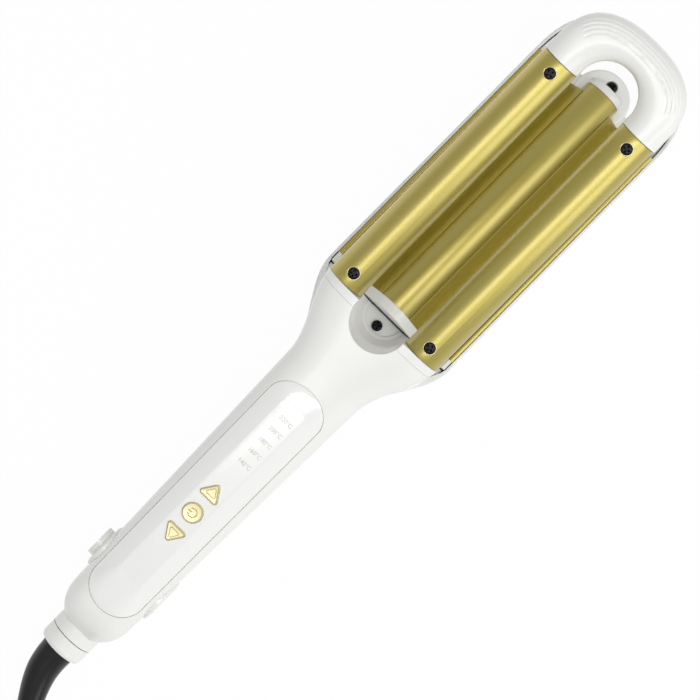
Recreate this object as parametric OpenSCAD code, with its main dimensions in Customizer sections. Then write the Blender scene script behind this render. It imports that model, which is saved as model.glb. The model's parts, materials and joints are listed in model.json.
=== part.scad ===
// Three-barrel hair waver: two arms on one hinge, in millimetres.
// Each arm is drawn straight and closed: x runs from the hinge axis to the tip, y to the left,
// and z up from the hinge axis, with the controls on top. Then the rear arm is set flat on the
// table, its origin in the middle of the jaw's flat back, and the front arm is turned up about
// the hinge axis by the open angle.

/* [Arms] */
// Angle between the open arms, degrees
open_angle = 14.3; // [9:0.1:16]
// Gap between the facing sides of the closed arms
face_gap = 0.6; // [0.4:0.1:1]
// Wall of the plastic shells
shell_t = 2; // [1.6:0.1:2.4]
// Thickness of the flat covers on the facing sides
cover_t = 1.8; // [1.4:0.1:2.4]
// Clearance round each cover and panel
fit_gap = 0.25; // [0.15:0.05:0.4]

/* [Handle] */
// Width of the handle at the hinge
handle_w = 35.6; // [34:0.2:40]
// Widening of each side, per millimetre towards the tip
handle_taper = 0.0235; // [0.015:0.0005:0.03]
// Height of the front handle over the hinge axis
handle_top = 18.5; // [17.5:0.1:20]
// Depth of the rear handle under the hinge axis
handle_bottom = 18; // [17:0.1:20]
// Length of the round end behind the hinge, where its curve starts
dome_start = 20; // [19:0.5:24]
// Length of the round end's curve
dome_len = 18; // [16:0.5:20]
// Squareness of the handle's section: 2 is an ellipse
handle_square = 3.4; // [3:0.1:4]

/* [Barrels] */
// Outer diameter of each barrel
barrel_d = 19; // [17:0.2:20]
// Wall of each barrel
tube_t = 1.2; // [1:0.1:1.6]
// Distance of the outer barrels' axes from the middle
barrel_pitch = 24; // [23.5:0.1:26]
// Neck end of the outer barrels
barrel_x = 167; // [160:0.5:175]
// Length of the outer barrels
barrel_len = 139; // [120:1:160]
// Height of the outer barrels' axes over the hinge axis
barrel_z = 8.5; // [8:0.1:10]
// Height of the middle barrel's axis over the hinge axis
mid_z = 2.5; // [1.5:0.1:3]
// Neck end of the middle barrel, past that of the outer ones
mid_shift = 5.2; // [5:0.1:7]
// Room between an outer barrel and its trough when closed
trough_gap = 1.5; // [1.2:0.1:2]
// Thickness of the wave plate
plate_t = 1.6; // [1.2:0.1:2]
// Distance of the barrel screws from the barrel's ends
screw_inset = 6.6; // [6:0.1:9]

/* [Jaw] */
// Width of the slot between the outer barrels
slot_w = 28.9; // [28.6:0.1:29.6]
// Length of the neck's fork, from the slot's end to the collar
fork_len = 13.6; // [12:0.1:16]
// Length of the white collar in front of the outer barrels
collar_len = 3; // [2.4:0.1:4]
// Length of the tip head beyond the outer barrels
head_len = 35.7; // [34:0.1:40]
// Lip of the front arm round the outer barrels
front_lip = 0.5; // [0.3:0.1:1]
// Distance from an outer barrel to the outside of the rear jaw
rim_margin = 4.9; // [4.6:0.1:6]
// Wall of the rear jaw's rim
rim_t = 1.4; // [1.2:0.1:1.8]
// Height of the rear jaw's rim over the hinge axis
rim_z = 7; // [5:0.1:8]
// Depth of the rear jaw under the hinge axis, which sets the hinge's height over the table
jaw_depth = 26; // [25:0.5:30]

/* [Hinge] */
// Diameter of the hinge bushes' outer discs
boss_d = 22.8; // [22:0.1:24]
// How far the discs stand out of the handle's sides
boss_proud = 1.3; // [1:0.1:1.8]
// Outer diameter of the bushes' journals, on which the rear arm turns
journal_d = 19; // [18.4:0.1:19.6]
// Radial running clearance of the hinge and of the cord swivel
run_gap = 0.06; // [0.04:0.01:0.1]
// Diameter of the lock button
lock_d = 15; // [14:0.1:15.4]
// Travel of the lock button
lock_travel = 3; // [2.6:0.1:3]
// Radius of the rear arm's hinge cheeks
cheek_r = 12.4; // [12:0.1:12.6]
// Thickness of the rear arm's hinge cheeks
cheek_t = 4.4; // [4:0.1:4.6]
// Wire of the hinge spring
spring_wire = 1.8; // [1.4:0.1:2]

/* [Controls] */
// Middle of the power button, from the hinge axis
power_x = 43.7; // [40:0.1:48]
// Distance between neighbouring buttons
button_pitch = 13.4; // [12.5:0.1:15]
// Diameter of the power button
power_d = 9.7; // [9:0.1:10.5]
// Length of the arrow buttons along the handle
arrow_len = 8.1; // [7.5:0.1:9]
// Width of the arrow buttons
arrow_w = 9.9; // [9:0.1:10.5]
// How far the buttons stand out of the panel
button_proud = 0.6; // [0.4:0.1:0.8]
// Travel of the buttons
button_travel = 0.5; // [0.3:0.05:0.6]
// Ends of the control panel
panel_ends = [-18.5, 121.5];
// Ends of the panel's flat strip
strip_ends = [2, 111];
// Width of the panel's flat strip
strip_w = 13.8; // [13:0.1:15]
// Height of the flat strip over the hinge axis
strip_z = 19; // [19:0.1:20]
// First temperature mark, and the distance between two marks
first_mark = 76.5; // [74:0.1:80]
// Distance between two temperature marks
mark_pitch = 6.8; // [6:0.1:7]

/* [Cord] */
// Diameter of the swivel collar
swivel_d = 22.3; // [21:0.1:24]
// End of the swivel collar behind the hinge axis
swivel_end = 50; // [48:0.1:54]
// Diameter of the swivel's spindle
spindle_d = 14; // [12:0.1:15]
// Diameter of the cord
cord_d = 6.5; // [6:0.1:7]
// Diameter of the cord boot at the collar
boot_d = 16.6; // [15:0.1:17]

/* [Hidden] */
$fn = 64;

white = [0.94, 0.94, 0.92];
gold = [0.78, 0.71, 0.42];
black = [0.06, 0.06, 0.06];
silver = [0.75, 0.75, 0.77];
brass = [0.72, 0.6, 0.3];
ceramic = [0.9, 0.88, 0.82];
green = [0.1, 0.35, 0.2];

barrel_r = barrel_d / 2;
bore_r = barrel_r - tube_t;
barrel_end = barrel_x + barrel_len;
mid_x = barrel_x + mid_shift;
mid_len = barrel_len - 0.2;
mid_end = mid_x + mid_len;
slot_r = slot_w / 2;
collar_x = barrel_x - collar_len - 0.2;
slot_x0 = collar_x - fork_len;
slot_neck_x = slot_x0 + slot_r;
slot_tip_x = barrel_end + 4;
head_end = barrel_end + head_len;
front_half = barrel_pitch + barrel_r + front_lip;
rear_half = barrel_pitch + barrel_r + rim_margin;
head_top = barrel_z + barrel_r + 1;
trough_r = barrel_r + trough_gap;
rear_face = -face_gap;
deck_z = rear_face - 0.4;
deck_t = 2;
pilot_r = 1.25;
tongue_r = slot_r - 0.45;
tongue_z = 1.6;
tongue_x = slot_tip_x - 0.3;
rear_end = head_end - 1.7;
tip_from = barrel_end - 6;
loop_r = tongue_r + 7.3;
deck_end = rear_end - 2.6;
neck_seam_x = barrel_x - 0.2;
collar_back = neck_seam_x + 0.4;
plate_x = mid_x - 0.2;
plate_end = barrel_end;
flare_x0 = barrel_x - 41;
hinge_wall = dome_start - 0.6;
cover_x0 = dome_start + 1;
fork_cover_end = slot_x0 - 3;
neck_cover_x0 = barrel_x - 50;
cheek_out = handle_w / 2 - shell_t - 0.9;
cheek_in = cheek_out - cheek_t;
lock_r = lock_d / 2;
journal_r = journal_d / 2;
boss_face = handle_w / 2 + boss_proud;
board_z = 11;
board_t = 1.6;
board_x = [24, 113];
spring_seat_z = 13.5;
switch_top = board_z + board_t + 2.7;
button_foot = switch_top + button_travel + 0.1;
panel_t = 1.8;
panel_under = strip_z - panel_t;
spindle_r = spindle_d / 2;
swivel_x = -dome_start - dome_len - 3;

function ease(a, b, x) =
    let (t = min(1, max(0, (x - a) / (b - a)))) t * t * (3 - 2 * t);
function power(v, e) = v <= 0 ? 0 : pow(v, e);
function sgn_pow(v, e) = sign(v) * power(abs(v), e);

// Outline and profile of the two arms, for an x along the arm
function dome(x) = x > -dome_start ? 1 : sqrt(max(0, 1 - pow((-dome_start - x) / dome_len, 2)));
function handle_half(x) = dome(x) * (handle_w / 2 + handle_taper * min(x, barrel_x));
function flare(half, x) = (half - handle_half(barrel_x)) * ease(flare_x0, barrel_x + 1, x);
function front_w(x) = handle_half(x) + flare(front_half, x);
function front_top(x) = dome(x) * handle_top + (head_top - handle_top) * ease(flare_x0, barrel_x, x);
function tip_part(x) = max(0, x - tip_from) / (rear_end - tip_from);
function tip_round(x, e) = power(1 - pow(tip_part(x), e), 1 / e);
function rear_w(x) = (handle_half(x) + flare(rear_half, x)) * tip_round(x, 3.5);
function rear_depth(x) =
    (handle_bottom + (jaw_depth - handle_bottom) * ease(flare_x0 - 6, barrel_x - 8, x)) * tip_round(x, 2.4);
function rim(x) =
    rear_face + (rim_z - rear_face) * (ease(barrel_x - 13, barrel_x + 7, x) - ease(barrel_end, barrel_end + 16, x));
function square_at(x) = handle_square + 0.6 * ease(flare_x0, barrel_x, x);
function front_surface(x, y) =
    front_top(x) * power(1 - power(abs(y) / front_w(x), square_at(x)), 1 / square_at(x));

// Skin through closed rings that all have the same number of points
module skin(rings) {
    n = len(rings[0]);
    m = len(rings);
    sides = [for (j = [0 : m - 2], i = [0 : n - 1])
        let (a = j * n + i, b = j * n + (i + 1) % n)
        each [[a, b, b + n], [a, b + n, a + n]]];
    polyhedron(
        points = [for (r = rings) each r],
        faces = concat([[for (i = [n - 1 : -1 : 0]) i]], sides, [[for (i = [0 : n - 1]) (m - 1) * n + i]]));
}

// Convex solid round points, which lofts an arm when it is repeated from station to station
module wrap(points) hull() polyhedron(points, [[for (i = [0 : len(points) - 1]) i]]);

// Section of an arm at x: corners at the height lip on the facing side, and a round back.
// The back starts at z0 and goes to depth, which is below z0 for the rear arm.
function half_ring(x, w, z0, depth, lip, e, steps) = concat(
    [[x, w, lip], [x, -w, lip]],
    [for (k = [0 : steps]) let (t = 180 * k / steps)
        [x, w * sgn_pow(cos(t), 2 / e), z0 + (depth - z0) * power(sin(t), 2 / e)]]);

front_xs = concat(
    [for (t = [82, 68, 54, 40, 26, 12]) -dome_start - dome_len * sin(t)],
    [-dome_start, 0, 40, 80, flare_x0 - 4],
    [for (k = [1 : 8]) flare_x0 + k * (barrel_x - flare_x0) / 8]);
rear_xs = concat(
    [dome_start - 8, 60, 100, flare_x0 - 8],
    [for (k = [0 : 8]) flare_x0 + k * (barrel_x + 9 - flare_x0) / 8],
    [tip_from],
    [for (t = [14 : 12 : 86]) tip_from + (rear_end - tip_from) * sin(t)]);

// Outer form of the front arm's upper half, shrunk by inset, cut to x0 .. x1 and lowered by below
module front_form(inset, x0, x1, below) {
    xs = concat([x0], [for (x = front_xs) if (x > x0 + 0.5 && x < x1 - 0.5) x], [x1]);
    rings = [for (x = xs)
        half_ring(x, max(1, front_w(x) - inset), 0, max(1, front_top(x) - inset), -below, square_at(x), 24)];
    for (i = [1 : len(rings) - 1]) wrap(concat(rings[i - 1], rings[i]));
}

// Outer form of the rear arm, shrunk by inset, with its facing side lifted by above
module rear_form(inset, above) {
    rings = [for (x = rear_xs)
        let (wall = inset == 0 ? 0 : inset + (rim_t - shell_t) * ease(flare_x0, flare_x0 + 20, x))
        half_ring(x - inset * tip_part(x), max(1, rear_w(x) - wall), rear_face, -max(2, rear_depth(x) - inset), rim(x) + above,
            square_at(x), 24)];
    for (i = [1 : len(rings) - 1]) wrap(concat(rings[i - 1], rings[i]));
}

// Plate that fills an arm's facing side between two places along it
module arm_plate(x0, x1, z0, t, half_at, margin, step) {
    n = ceil((x1 - x0) / step);
    xs = [for (k = [0 : n]) x0 + k * (x1 - x0) / n];
    translate([0, 0, z0]) linear_extrude(t)
        polygon(concat([for (x = xs) [x, half_at[round((x - x0) / (x1 - x0) * n)] - margin]],
            [for (k = [n : -1 : 0]) [xs[k], -half_at[k] + margin]]));
}
function halves(x0, x1, step, front) =
    let (n = ceil((x1 - x0) / step))
    [for (k = [0 : n]) let (x = x0 + k * (x1 - x0) / n) front ? front_w(x) : rear_w(x)];

// Places the cord and the arms, with the origin in the middle of the jaw's flat back
foot_x = (barrel_x + barrel_end) / 2;
module on_table() translate([-foot_x, 0, 0]) children();
module on_rear() on_table() translate([0, 0, jaw_depth]) children();
module on_front() on_rear() rotate([0, -open_angle, 0]) children();

// Cylinder along x or y between two places on its axis
module along_x(x0, x1, r, y = 0, z = 0) translate([x0, y, z]) rotate([0, 90, 0]) cylinder(h = x1 - x0, r = r);
module along_y(y0, y1, r, x = 0, z = 0) translate([x, y1, z]) rotate([90, 0, 0]) cylinder(h = y1 - y0, r = r);

// Closed slot outline between the barrels, as a cutter
module slot_cut(z0, z1, r) {
    translate([slot_neck_x, 0, z0]) cylinder(h = z1 - z0, r = r);
    translate([slot_neck_x, -r, z0]) cube([slot_tip_x - slot_neck_x, 2 * r, z1 - z0]);
    translate([slot_tip_x, 0, z0]) cylinder(h = z1 - z0, r = r);
}

// Outline with elliptic or squarer ends: x0 .. x1 long, w0 and w1 half wide at its ends
function long_ring(ends, e, w0, w1, square, steps) = concat(
    [for (k = [0 : steps]) let (t = -90 + 180 * k / steps)
        [ends[1] - e + e * power(cos(t), 2 / square), w1 * sgn_pow(sin(t), 2 / square)]],
    [for (k = [0 : steps]) let (t = 90 + 180 * k / steps)
        [ends[0] + e - e * power(-cos(t), 2 / square), w0 * sgn_pow(sin(t), 2 / square)]]);
function panel_ring(grow) = long_ring([panel_ends[0] - grow, panel_ends[1] + grow], 12,
    handle_half(panel_ends[0]) * 0.83 + grow, front_w(panel_ends[1] - 12) * 0.74 + grow, 2, 14);

// Arrow outline that points to +x, its middle at the origin, grown by grow
function arrow(grow) = let (r = 1.3, l = arrow_len / 2 - r, w = arrow_w / 2 - r)
    [for (c = [[l, 0, -60], [-l, w, 60], [-l, -w, 180]], k = [0 : 5])
        let (a = c[2] + 24 * k) [c[0] + (r + grow) * cos(a), c[1] + (r + grow) * sin(a)]];

// Tube of radius r through points, as one skin with sides flat sides
function unit(v) = v / norm(v);
function along(p, i) = unit(p[min(i + 1, len(p) - 1)] - p[max(i - 1, 0)]);
module tube(points, radii, sides) {
    skin([for (i = [0 : len(points) - 1])
        let (t = along(points, i), s = unit(cross(t, [0, 0, 1])), u = cross(s, t),
            r = is_list(radii) ? radii[i] : radii)
        [for (k = [0 : sides - 1]) points[i] + r * (cos(360 * k / sides) * s + sin(360 * k / sides) * u)]]);
}

// Room in the front arm for the bushes and, inside, for the rear arm's cheeks
module hinge_room() {
    along_y(-boss_face - 1, boss_face + 1, boss_d / 2 + 0.05);
    along_y(-cheek_out - 0.3, cheek_out + 0.3, cheek_r + 0.4);
}

// Front arm: white upper shell from the round end to the neck's fork, with posts for the cover's screws
module front_shell() color(white) on_front() difference() {
    union() {
        difference() {
            front_form(0, front_xs[0], collar_x, 0);
            front_form(shell_t, front_xs[1], collar_x + 1, 1);
        }
        intersection() {
            front_form(0.4, barrel_x - 40, collar_x, 0);
            union() {
                translate([slot_neck_x, 0, 0]) cylinder(h = head_top, r = slot_r + shell_t);
                for (s = [-1, 1]) translate([cover_screw_at[0], s * cover_screw_at[1], cover_t + 0.1])
                    cylinder(h = head_top, r = 3);
            }
        }
        intersection() {
            front_form(0.4, front_xs[0], 0, 0);
            translate([flange_x + 4.6, -6.6, 6.5]) cube([10, 1.5, handle_top]);
        }
        translate([dome_start - 3, 4, spring_seat_z]) cube([6.5, 6, handle_top - shell_t - spring_seat_z + 0.6]);
        along_x(swivel_x, -dome_start - dome_len / 2, swivel_d / 2);
    }
    for (s = [-1, 1]) translate([cover_screw_at[0], s * cover_screw_at[1], 0]) cylinder(h = 8, r = pilot_r);
    slot_cut(-1, head_top + 1, slot_r);
    translate([0, 0, strip_z - 9]) linear_extrude(12) polygon(panel_ring(fit_gap));
    hinge_room();
    along_x(swivel_x - 1, -dome_start, swivel_d / 2 - shell_t);
    translate([-80, -40, -40]) cube([80, 80, 40]);
}

// Lower half of the round end, cut round the hinge so that the rear arm can turn
module tail_cover() color(white) on_front() difference() {
    union() {
        mirror([0, 0, 1]) difference() {
            scale([1, 1, handle_bottom / handle_top]) front_form(0, front_xs[0], hinge_wall, 0);
            scale([1, 1, (handle_bottom - shell_t) / (handle_top - shell_t)])
                front_form(shell_t, front_xs[1], hinge_wall + 1, 1);
        }
        along_x(swivel_x, -dome_start - dome_len / 2, swivel_d / 2);
    }
    along_x(swivel_x - 1, -dome_start, swivel_d / 2 - shell_t);
    hinge_room();
    translate([-80, -40, 0]) cube([120, 80, 40]);
    difference() {
        translate([0, -40, -40]) cube([60, 80, 40]);
        along_y(-40, 40, hinge_wall);
    }
}

// Flat cover on the facing side of the front handle, with the board's posts
cover_screw_at = [fork_cover_end - 12, 5];
board_post_x = [power_x - button_pitch / 2, board_x[1] - 4];
module front_inner_cover() color(white) on_front() difference() {
    union() {
        arm_plate(cover_x0, fork_cover_end, 0, cover_t, halves(cover_x0, fork_cover_end, 8, true),
            shell_t + fit_gap, 8);
        for (x = board_post_x) translate([x, 0, 0]) {
            cylinder(h = board_z, r = 3);
            cylinder(h = board_z + board_t + 0.6, r = 1.5);
        }
    }
    for (s = [-1, 1]) translate([cover_screw_at[0], s * cover_screw_at[1], -1]) cylinder(h = cover_t + 2, r = 1.6);
}

// Glossy panel: a flat strip with sloping flanks down to the shell's surface
module panel_form(inset, drop, below) {
    outline = panel_ring(-inset);
    strip = long_ring(strip_ends, 4, strip_w / 2, strip_w / 2, 4, 14);
    wrap(concat(
        [for (p = outline) each [
            [p[0], p[1], front_surface(p[0], p[1]) - drop - below],
            [p[0], p[1], front_surface(p[0], p[1]) - drop]]],
        [for (p = strip) [p[0], p[1], strip_z - drop]]));
}
module control_panel() color(white) on_front() difference() {
    panel_form(0, 0.1, panel_t - 0.6);
    panel_form(panel_t, panel_t, 12);
    translate([power_x, 0, panel_under - 1]) cylinder(h = 5, r = power_d / 2 + 0.1);
    for (s = [-1, 1]) translate([power_x + s * button_pitch, 0, panel_under - 1])
        scale([s, 1, 1]) linear_extrude(5) polygon(arrow(0.1));
}

// Buttons: a cap through the panel on a wider foot under it
module button_on(x) on_front() translate([x, 0, 0]) children();
module power_button() color(gold) button_on(power_x) {
    translate([0, 0, panel_under - 0.2]) cylinder(h = strip_z + button_proud - panel_under + 0.2, r = power_d / 2);
    translate([0, 0, button_foot]) cylinder(h = panel_under - 0.1 - button_foot, r = power_d / 2 + 0.6);
}
module arrow_button() {
    translate([0, 0, panel_under - 0.2]) linear_extrude(strip_z + button_proud - panel_under + 0.2) polygon(arrow(0));
    translate([0, 0, button_foot]) linear_extrude(panel_under - 0.1 - button_foot) polygon(arrow(0.6));
}
module up_button() color(gold) button_on(power_x + button_pitch) arrow_button();
module down_button() color(gold) button_on(power_x - button_pitch) mirror([1, 0, 0]) arrow_button();

// Board with its switches, lamps and parts
module circuit_board() color(green) on_front() difference() {
    translate([board_x[0], -12, board_z]) cube([board_x[1] - board_x[0], 24, board_t]);
    for (x = board_post_x) translate([x, 0, board_z - 1]) cylinder(h = board_t + 2, r = 1.6);
}
module tact_switches() color(silver) on_front() for (k = [-1, 0, 1])
    translate([power_x + k * button_pitch, 0, board_z + board_t]) {
        translate([-3, -3, 0]) cube([6, 6, 2]);
        cylinder(h = switch_top - board_z - board_t, r = 1.7);
    }
module status_leds() color(ceramic) on_front() for (k = [0 : 4])
    translate([first_mark + k * mark_pitch - 0.8, -1.6, board_z + board_t]) cube([1.6, 3.2, 0.9]);
module light_guide() color(white) on_front()
    translate([first_mark - 2.5, -4, board_z + board_t + 1.2])
        cube([4 * mark_pitch + 5, 8, panel_under - board_z - board_t - 1.2]);
module board_parts() color(black) on_front() {
    translate([board_x[0] + 40, -8, board_z - 7]) cube([14, 10, 7]);
    translate([board_x[0] + 62, 0, board_z - 9]) cylinder(h = 9, r = 4);
    translate([board_x[0] + 69, -6, board_z - 6]) cube([10, 12, 6]);
}

// Carrier inside the fork: a collar round each barrel's end, and a spigot into it
module spigot(x0, x1, y, z) difference() {
    along_x(x0, x1, bore_r - 0.1, y, z);
    for (x = [barrel_x + screw_inset, barrel_end - screw_inset, mid_x + screw_inset])
        if (z == barrel_z && x > min(x0, x1) && x < max(x0, x1))
            translate([x, y, z]) cylinder(h = barrel_r, r = 1.2);
}
module barrel_carrier() color(white) on_front() {
    difference() {
        union() {
            front_form(0, collar_x, barrel_x - 0.2, 0);
            for (s = [-1, 1]) translate([slot_x0 + 7, s * barrel_pitch - 3.5, 0.6]) cube([collar_x - slot_x0 - 6, 7, 11]);
        }
        slot_cut(-1, head_top + 1, slot_r);
    }
    for (s = [-1, 1]) spigot(collar_x + 1, barrel_x + 13, s * barrel_pitch, barrel_z);
}

// Barrels: gold tubes with a hole for each screw head
module barrel(x0, x1, y, z, holes) difference() {
    along_x(x0, x1, barrel_r, y, z);
    along_x(x0 - 1, x1 + 1, bore_r, y, z);
    for (x = holes) translate([x, y, z + bore_r / 2]) cylinder(h = barrel_r, r = screw_head_r + 0.1);
}
screw_head_r = 2.8;
barrel_screw_x = [barrel_x + screw_inset, barrel_end - screw_inset];
module left_barrel() color(gold) on_front() barrel(barrel_x, barrel_end, barrel_pitch, barrel_z, barrel_screw_x);
module right_barrel() color(gold) on_front() barrel(barrel_x, barrel_end, -barrel_pitch, barrel_z, barrel_screw_x);
module middle_barrel() color(gold) on_rear() barrel(mid_x, mid_end, 0, mid_z, []);

// Heater pack in each barrel: a ceramic bar between two aluminium half rounds
heater_end_room = 14.5;
bar_size = [11, 3.2];
module spreader(x0, x1, y, z) difference() {
    along_x(x0 + heater_end_room, x1 - heater_end_room, bore_r - 0.05, y, z);
    translate([x0, y - barrel_r, z - bar_size[1] / 2]) cube([x1 - x0, barrel_d, bar_size[1]]);
}
module heater(x0, x1, y, z) translate([x0 + heater_end_room + 3, y - bar_size[0] / 2, z - bar_size[1] / 2])
    cube([x1 - x0 - 2 * heater_end_room - 6, bar_size[0], bar_size[1]]);
module left_spreader() color(silver) on_front() spreader(barrel_x, barrel_end, barrel_pitch, barrel_z);
module right_spreader() color(silver) on_front() spreader(barrel_x, barrel_end, -barrel_pitch, barrel_z);
module middle_spreader() color(silver) on_rear() spreader(mid_x, mid_end, 0, mid_z);
module left_heater() color(ceramic) on_front() heater(barrel_x, barrel_end, barrel_pitch, barrel_z);
module right_heater() color(ceramic) on_front() heater(barrel_x, barrel_end, -barrel_pitch, barrel_z);
module middle_heater() color(ceramic) on_rear() heater(mid_x, mid_end, 0, mid_z);

// Tip head: a U round the slot's end, with a rounded upper edge
head_x = barrel_end + 0.4;
function head_ring(inset, z) = let (c = head_end - 30)
    concat([[head_x, front_half - inset, z], [head_x, -front_half + inset, z]],
        [for (k = [0 : 20]) let (t = 90 - 9 * k)
            [c + (30 - inset) * power(cos(t), 2 / 2.8), (front_half - inset) * sgn_pow(sin(t), 2 / 2.4), z]]);
module head_form(inset, z0, round_r) {
    top = head_top - inset;
    steps = concat([[0, z0]], [for (a = [0 : 18 : 90]) [round_r * (1 - cos(a)), top - round_r * (1 - sin(a))]]);
    for (i = [1 : len(steps) - 1])
        wrap(concat(head_ring(steps[i - 1][0] + inset, steps[i - 1][1]), head_ring(steps[i][0] + inset, steps[i][1])));
}
head_split_z = 3;
module tip_head() color(white) on_front() difference() {
    union() {
        difference() {
            head_form(0, head_split_z, 7);
            translate([-1, 0, 0]) head_form(shell_t, head_split_z - 1, 5);
        }
        intersection() {
            head_form(0.3, head_split_z, 7);
            union() {
                translate([slot_tip_x, 0, 0]) cylinder(h = head_top, r = slot_r + 5);
                translate([head_x, -40, 0]) cube([2, 80, 40]);
            }
        }
    }
    slot_cut(-1, head_top + 1, slot_r);
    translate([slot_tip_x, 0, head_top - 4]) cylinder(h = 4.01, r1 = slot_r, r2 = slot_r + 4);
    for (s = [-1, 1]) along_x(head_x - 1, head_x + 6, bore_r - 0.05, s * barrel_pitch, barrel_z);
}
module tip_head_base() color(white) on_front() {
    difference() {
        wrap(concat(head_ring(1, 0), head_ring(0, 1), head_ring(0, head_split_z - 0.05)));
        slot_cut(-1, head_top, slot_r);
        for (s = [-1, 1]) translate([head_x + 9, s * barrel_pitch, -1]) cylinder(h = 6, r = 1.6);
    }
    for (s = [-1, 1]) spigot(barrel_end - 13, head_x + 5, s * barrel_pitch, barrel_z);
    for (s = [-1, 1]) difference() {
        translate([head_x + 2.3, s * barrel_pitch - 4.5, head_split_z - 0.1]) cube([12, 9, 5]);
        translate([head_x + 9, s * barrel_pitch, -1]) cylinder(h = 12, r = 1.6);
    }
}

// Screws: a head with a cross recess on a shank
module screw(head_r, head_h, shank_r, shank_l) difference() {
    union() {
        cylinder(h = head_h, r = head_r);
        translate([0, 0, -shank_l]) cylinder(h = shank_l + 0.1, r = shank_r);
    }
    for (a = [0, 90]) rotate([0, 0, a + 20]) translate([-head_r * 0.62, -0.4, head_h - 0.7])
        cube([head_r * 1.24, 0.8, 1]);
}
module barrel_screws() color(black) on_front() for (s = [-1, 1], x = barrel_screw_x)
    translate([x, s * barrel_pitch, barrel_z + bore_r + 0.1]) screw(screw_head_r, 1.1, 1.15, 5);
module head_screws() color(black) on_front() for (s = [-1, 1])
    translate([head_x + 9, s * barrel_pitch, -0.01]) mirror([0, 0, 1]) translate([0, 0, -1.1])
        screw(1.55, 1, 1.2, 5);
module front_cover_screws() color(black) on_front() for (s = [-1, 1])
    translate([cover_screw_at[0], s * cover_screw_at[1], 1.2]) mirror([0, 0, 1]) screw(1.55, 1, 1.2, 5);

// Hinge bushes: a disc in each side of the handle, and a hollow journal that the rear arm turns on
module bush() rotate([-90, 0, 0]) rotate_extrude() polygon([
    [lock_r + 0.08, cheek_in - 0.3], [journal_r, cheek_in - 0.3], [journal_r, cheek_out + 0.3],
    [boss_d / 2, cheek_out + 0.3], [boss_d / 2, boss_face - 0.8], [boss_d / 2 - 1.6, boss_face],
    [lock_r + 0.08, boss_face]]);
module hinge_bushes() color(white) on_front() {
    bush();
    mirror([0, 1, 0]) bush();
}

// Lock button: it slides through the bushes, and its lug passes a rib on the rear arm's cheek
lug_r = cheek_r - 0.2;
lug_y = cheek_in - 6.6;
module lock_button() color(white) on_front() {
    along_y(cheek_in, boss_face + lock_travel, lock_r);
    along_y(-boss_face + 0.3, -cheek_in + lock_travel + 0.3, lock_r);
    along_y(-cheek_in, cheek_in + 0.1, 4.5);
    translate([-lug_r, -lug_y - 2.6, -0.6]) cube([lug_r - 3, 2.6, 1.2]);
}

// Cord swivel: a bearing ring in the round end, and contacts against the spindle's slip rings
bearing_len = 7;
flange_x = swivel_x + bearing_len + 0.8;
ring_x = [flange_x + 5.2, flange_x + 10.2];
module swivel_bearing() color(silver) on_front() difference() {
    along_x(swivel_x + 0.6, swivel_x + 0.6 + bearing_len, swivel_d / 2 - shell_t - 0.02);
    along_x(swivel_x, swivel_x + 8 + bearing_len, spindle_r + run_gap);
}
module contact_springs() color(brass) on_front() for (x = ring_x) {
    translate([x, -5, 5.3]) cube([2.4, 10, 0.6]);
    translate([x, -5, 5.3]) cube([2.4, 0.6, 6]);
}

// Leads from the board to the outer barrels, and along the rear arm to the middle one
lead_r = 1.1;
lead_y = 6;
lead_z = -7.8;
module front_leads() color(black) on_front() for (s = [-1, 1])
    tube([[board_x[1] - 3, s * 5, board_z - 1.2], [board_x[1] + 6, s * 6, board_z - 2],
        [slot_x0 - 20, s * 10, barrel_z + 0.5], [slot_x0 - 10, s * 15, barrel_z],
        [slot_x0 - 4, s * (barrel_pitch - 4.5), barrel_z], [slot_x0 + 2, s * (barrel_pitch - 2), barrel_z],
        [slot_x0 + 3.8, s * (barrel_pitch - 1), barrel_z]], lead_r, 8);
module rear_leads() color(black) on_rear() for (s = [-1, 1])
    tube([[dome_start + 4, s * 5, -5.5], [dome_start + 30, s * lead_y, -7], [neck_cover_x0 - 27, s * lead_y, -9],
        [neck_cover_x0 + 13, s * lead_y, -10], [collar_back - 12, s * lead_y, -10],
        [collar_back - 0.4, s * lead_y, lead_z]], lead_r, 8);

// Rear arm: white shell whose rim wraps the jaw, with an open loop at its tip and posts for its screws
rear_cover_screw_x = [cover_x0 + 33, neck_cover_x0 - 12];
dish_r = 15.6;
dish_depth = 3.6;
rear_screw_x = [neck_seam_x - 5.8, tongue_x + 7.3];
post_top = rear_face - cover_t - 0.1;
module rear_post(x, top) translate([x, 0, -jaw_depth]) cylinder(h = top + jaw_depth, r = 3.2);
module rear_shell() color(white) on_rear() difference() {
    union() {
        difference() {
            rear_form(0, 0);
            rear_form(shell_t, 3);
        }
        intersection() {
            rear_form(0.3, -3.2);
            union() {
                difference() {
                    translate([tongue_x, 0, -jaw_depth]) cylinder(h = jaw_depth + deck_z - deck_t - 0.1, r = loop_r + shell_t);
                    translate([tongue_x - 40, -40, -jaw_depth - 1]) cube([41, 80, 2 * jaw_depth + 2]);
                    translate([tongue_x, 0, -jaw_depth - 1]) cylinder(h = 2 * jaw_depth + 2, r = tongue_r - shell_t);
                }
                for (x = rear_cover_screw_x) rear_post(x, post_top);
                rear_post(rear_screw_x[0], post_top - dish_depth);
                rear_post(rear_screw_x[1], deck_z - deck_t - 0.1);
            }
        }
    }
    difference() {
        translate([tongue_x, 0, -jaw_depth - 1]) cylinder(h = 2 * jaw_depth, r = loop_r);
        translate([tongue_x, 0, -jaw_depth - 2]) cylinder(h = 2 * jaw_depth + 2, r = tongue_r);
        translate([tongue_x - 40, -40, -jaw_depth - 1]) cube([43, 80, 2 * jaw_depth]);
    }
    for (x = concat(rear_cover_screw_x, rear_screw_x))
        translate([x, 0, -rear_depth(x) + shell_t + 2]) cylinder(h = jaw_depth, r = pilot_r);
    along_y(-40, 40, dome_start);
}

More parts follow.
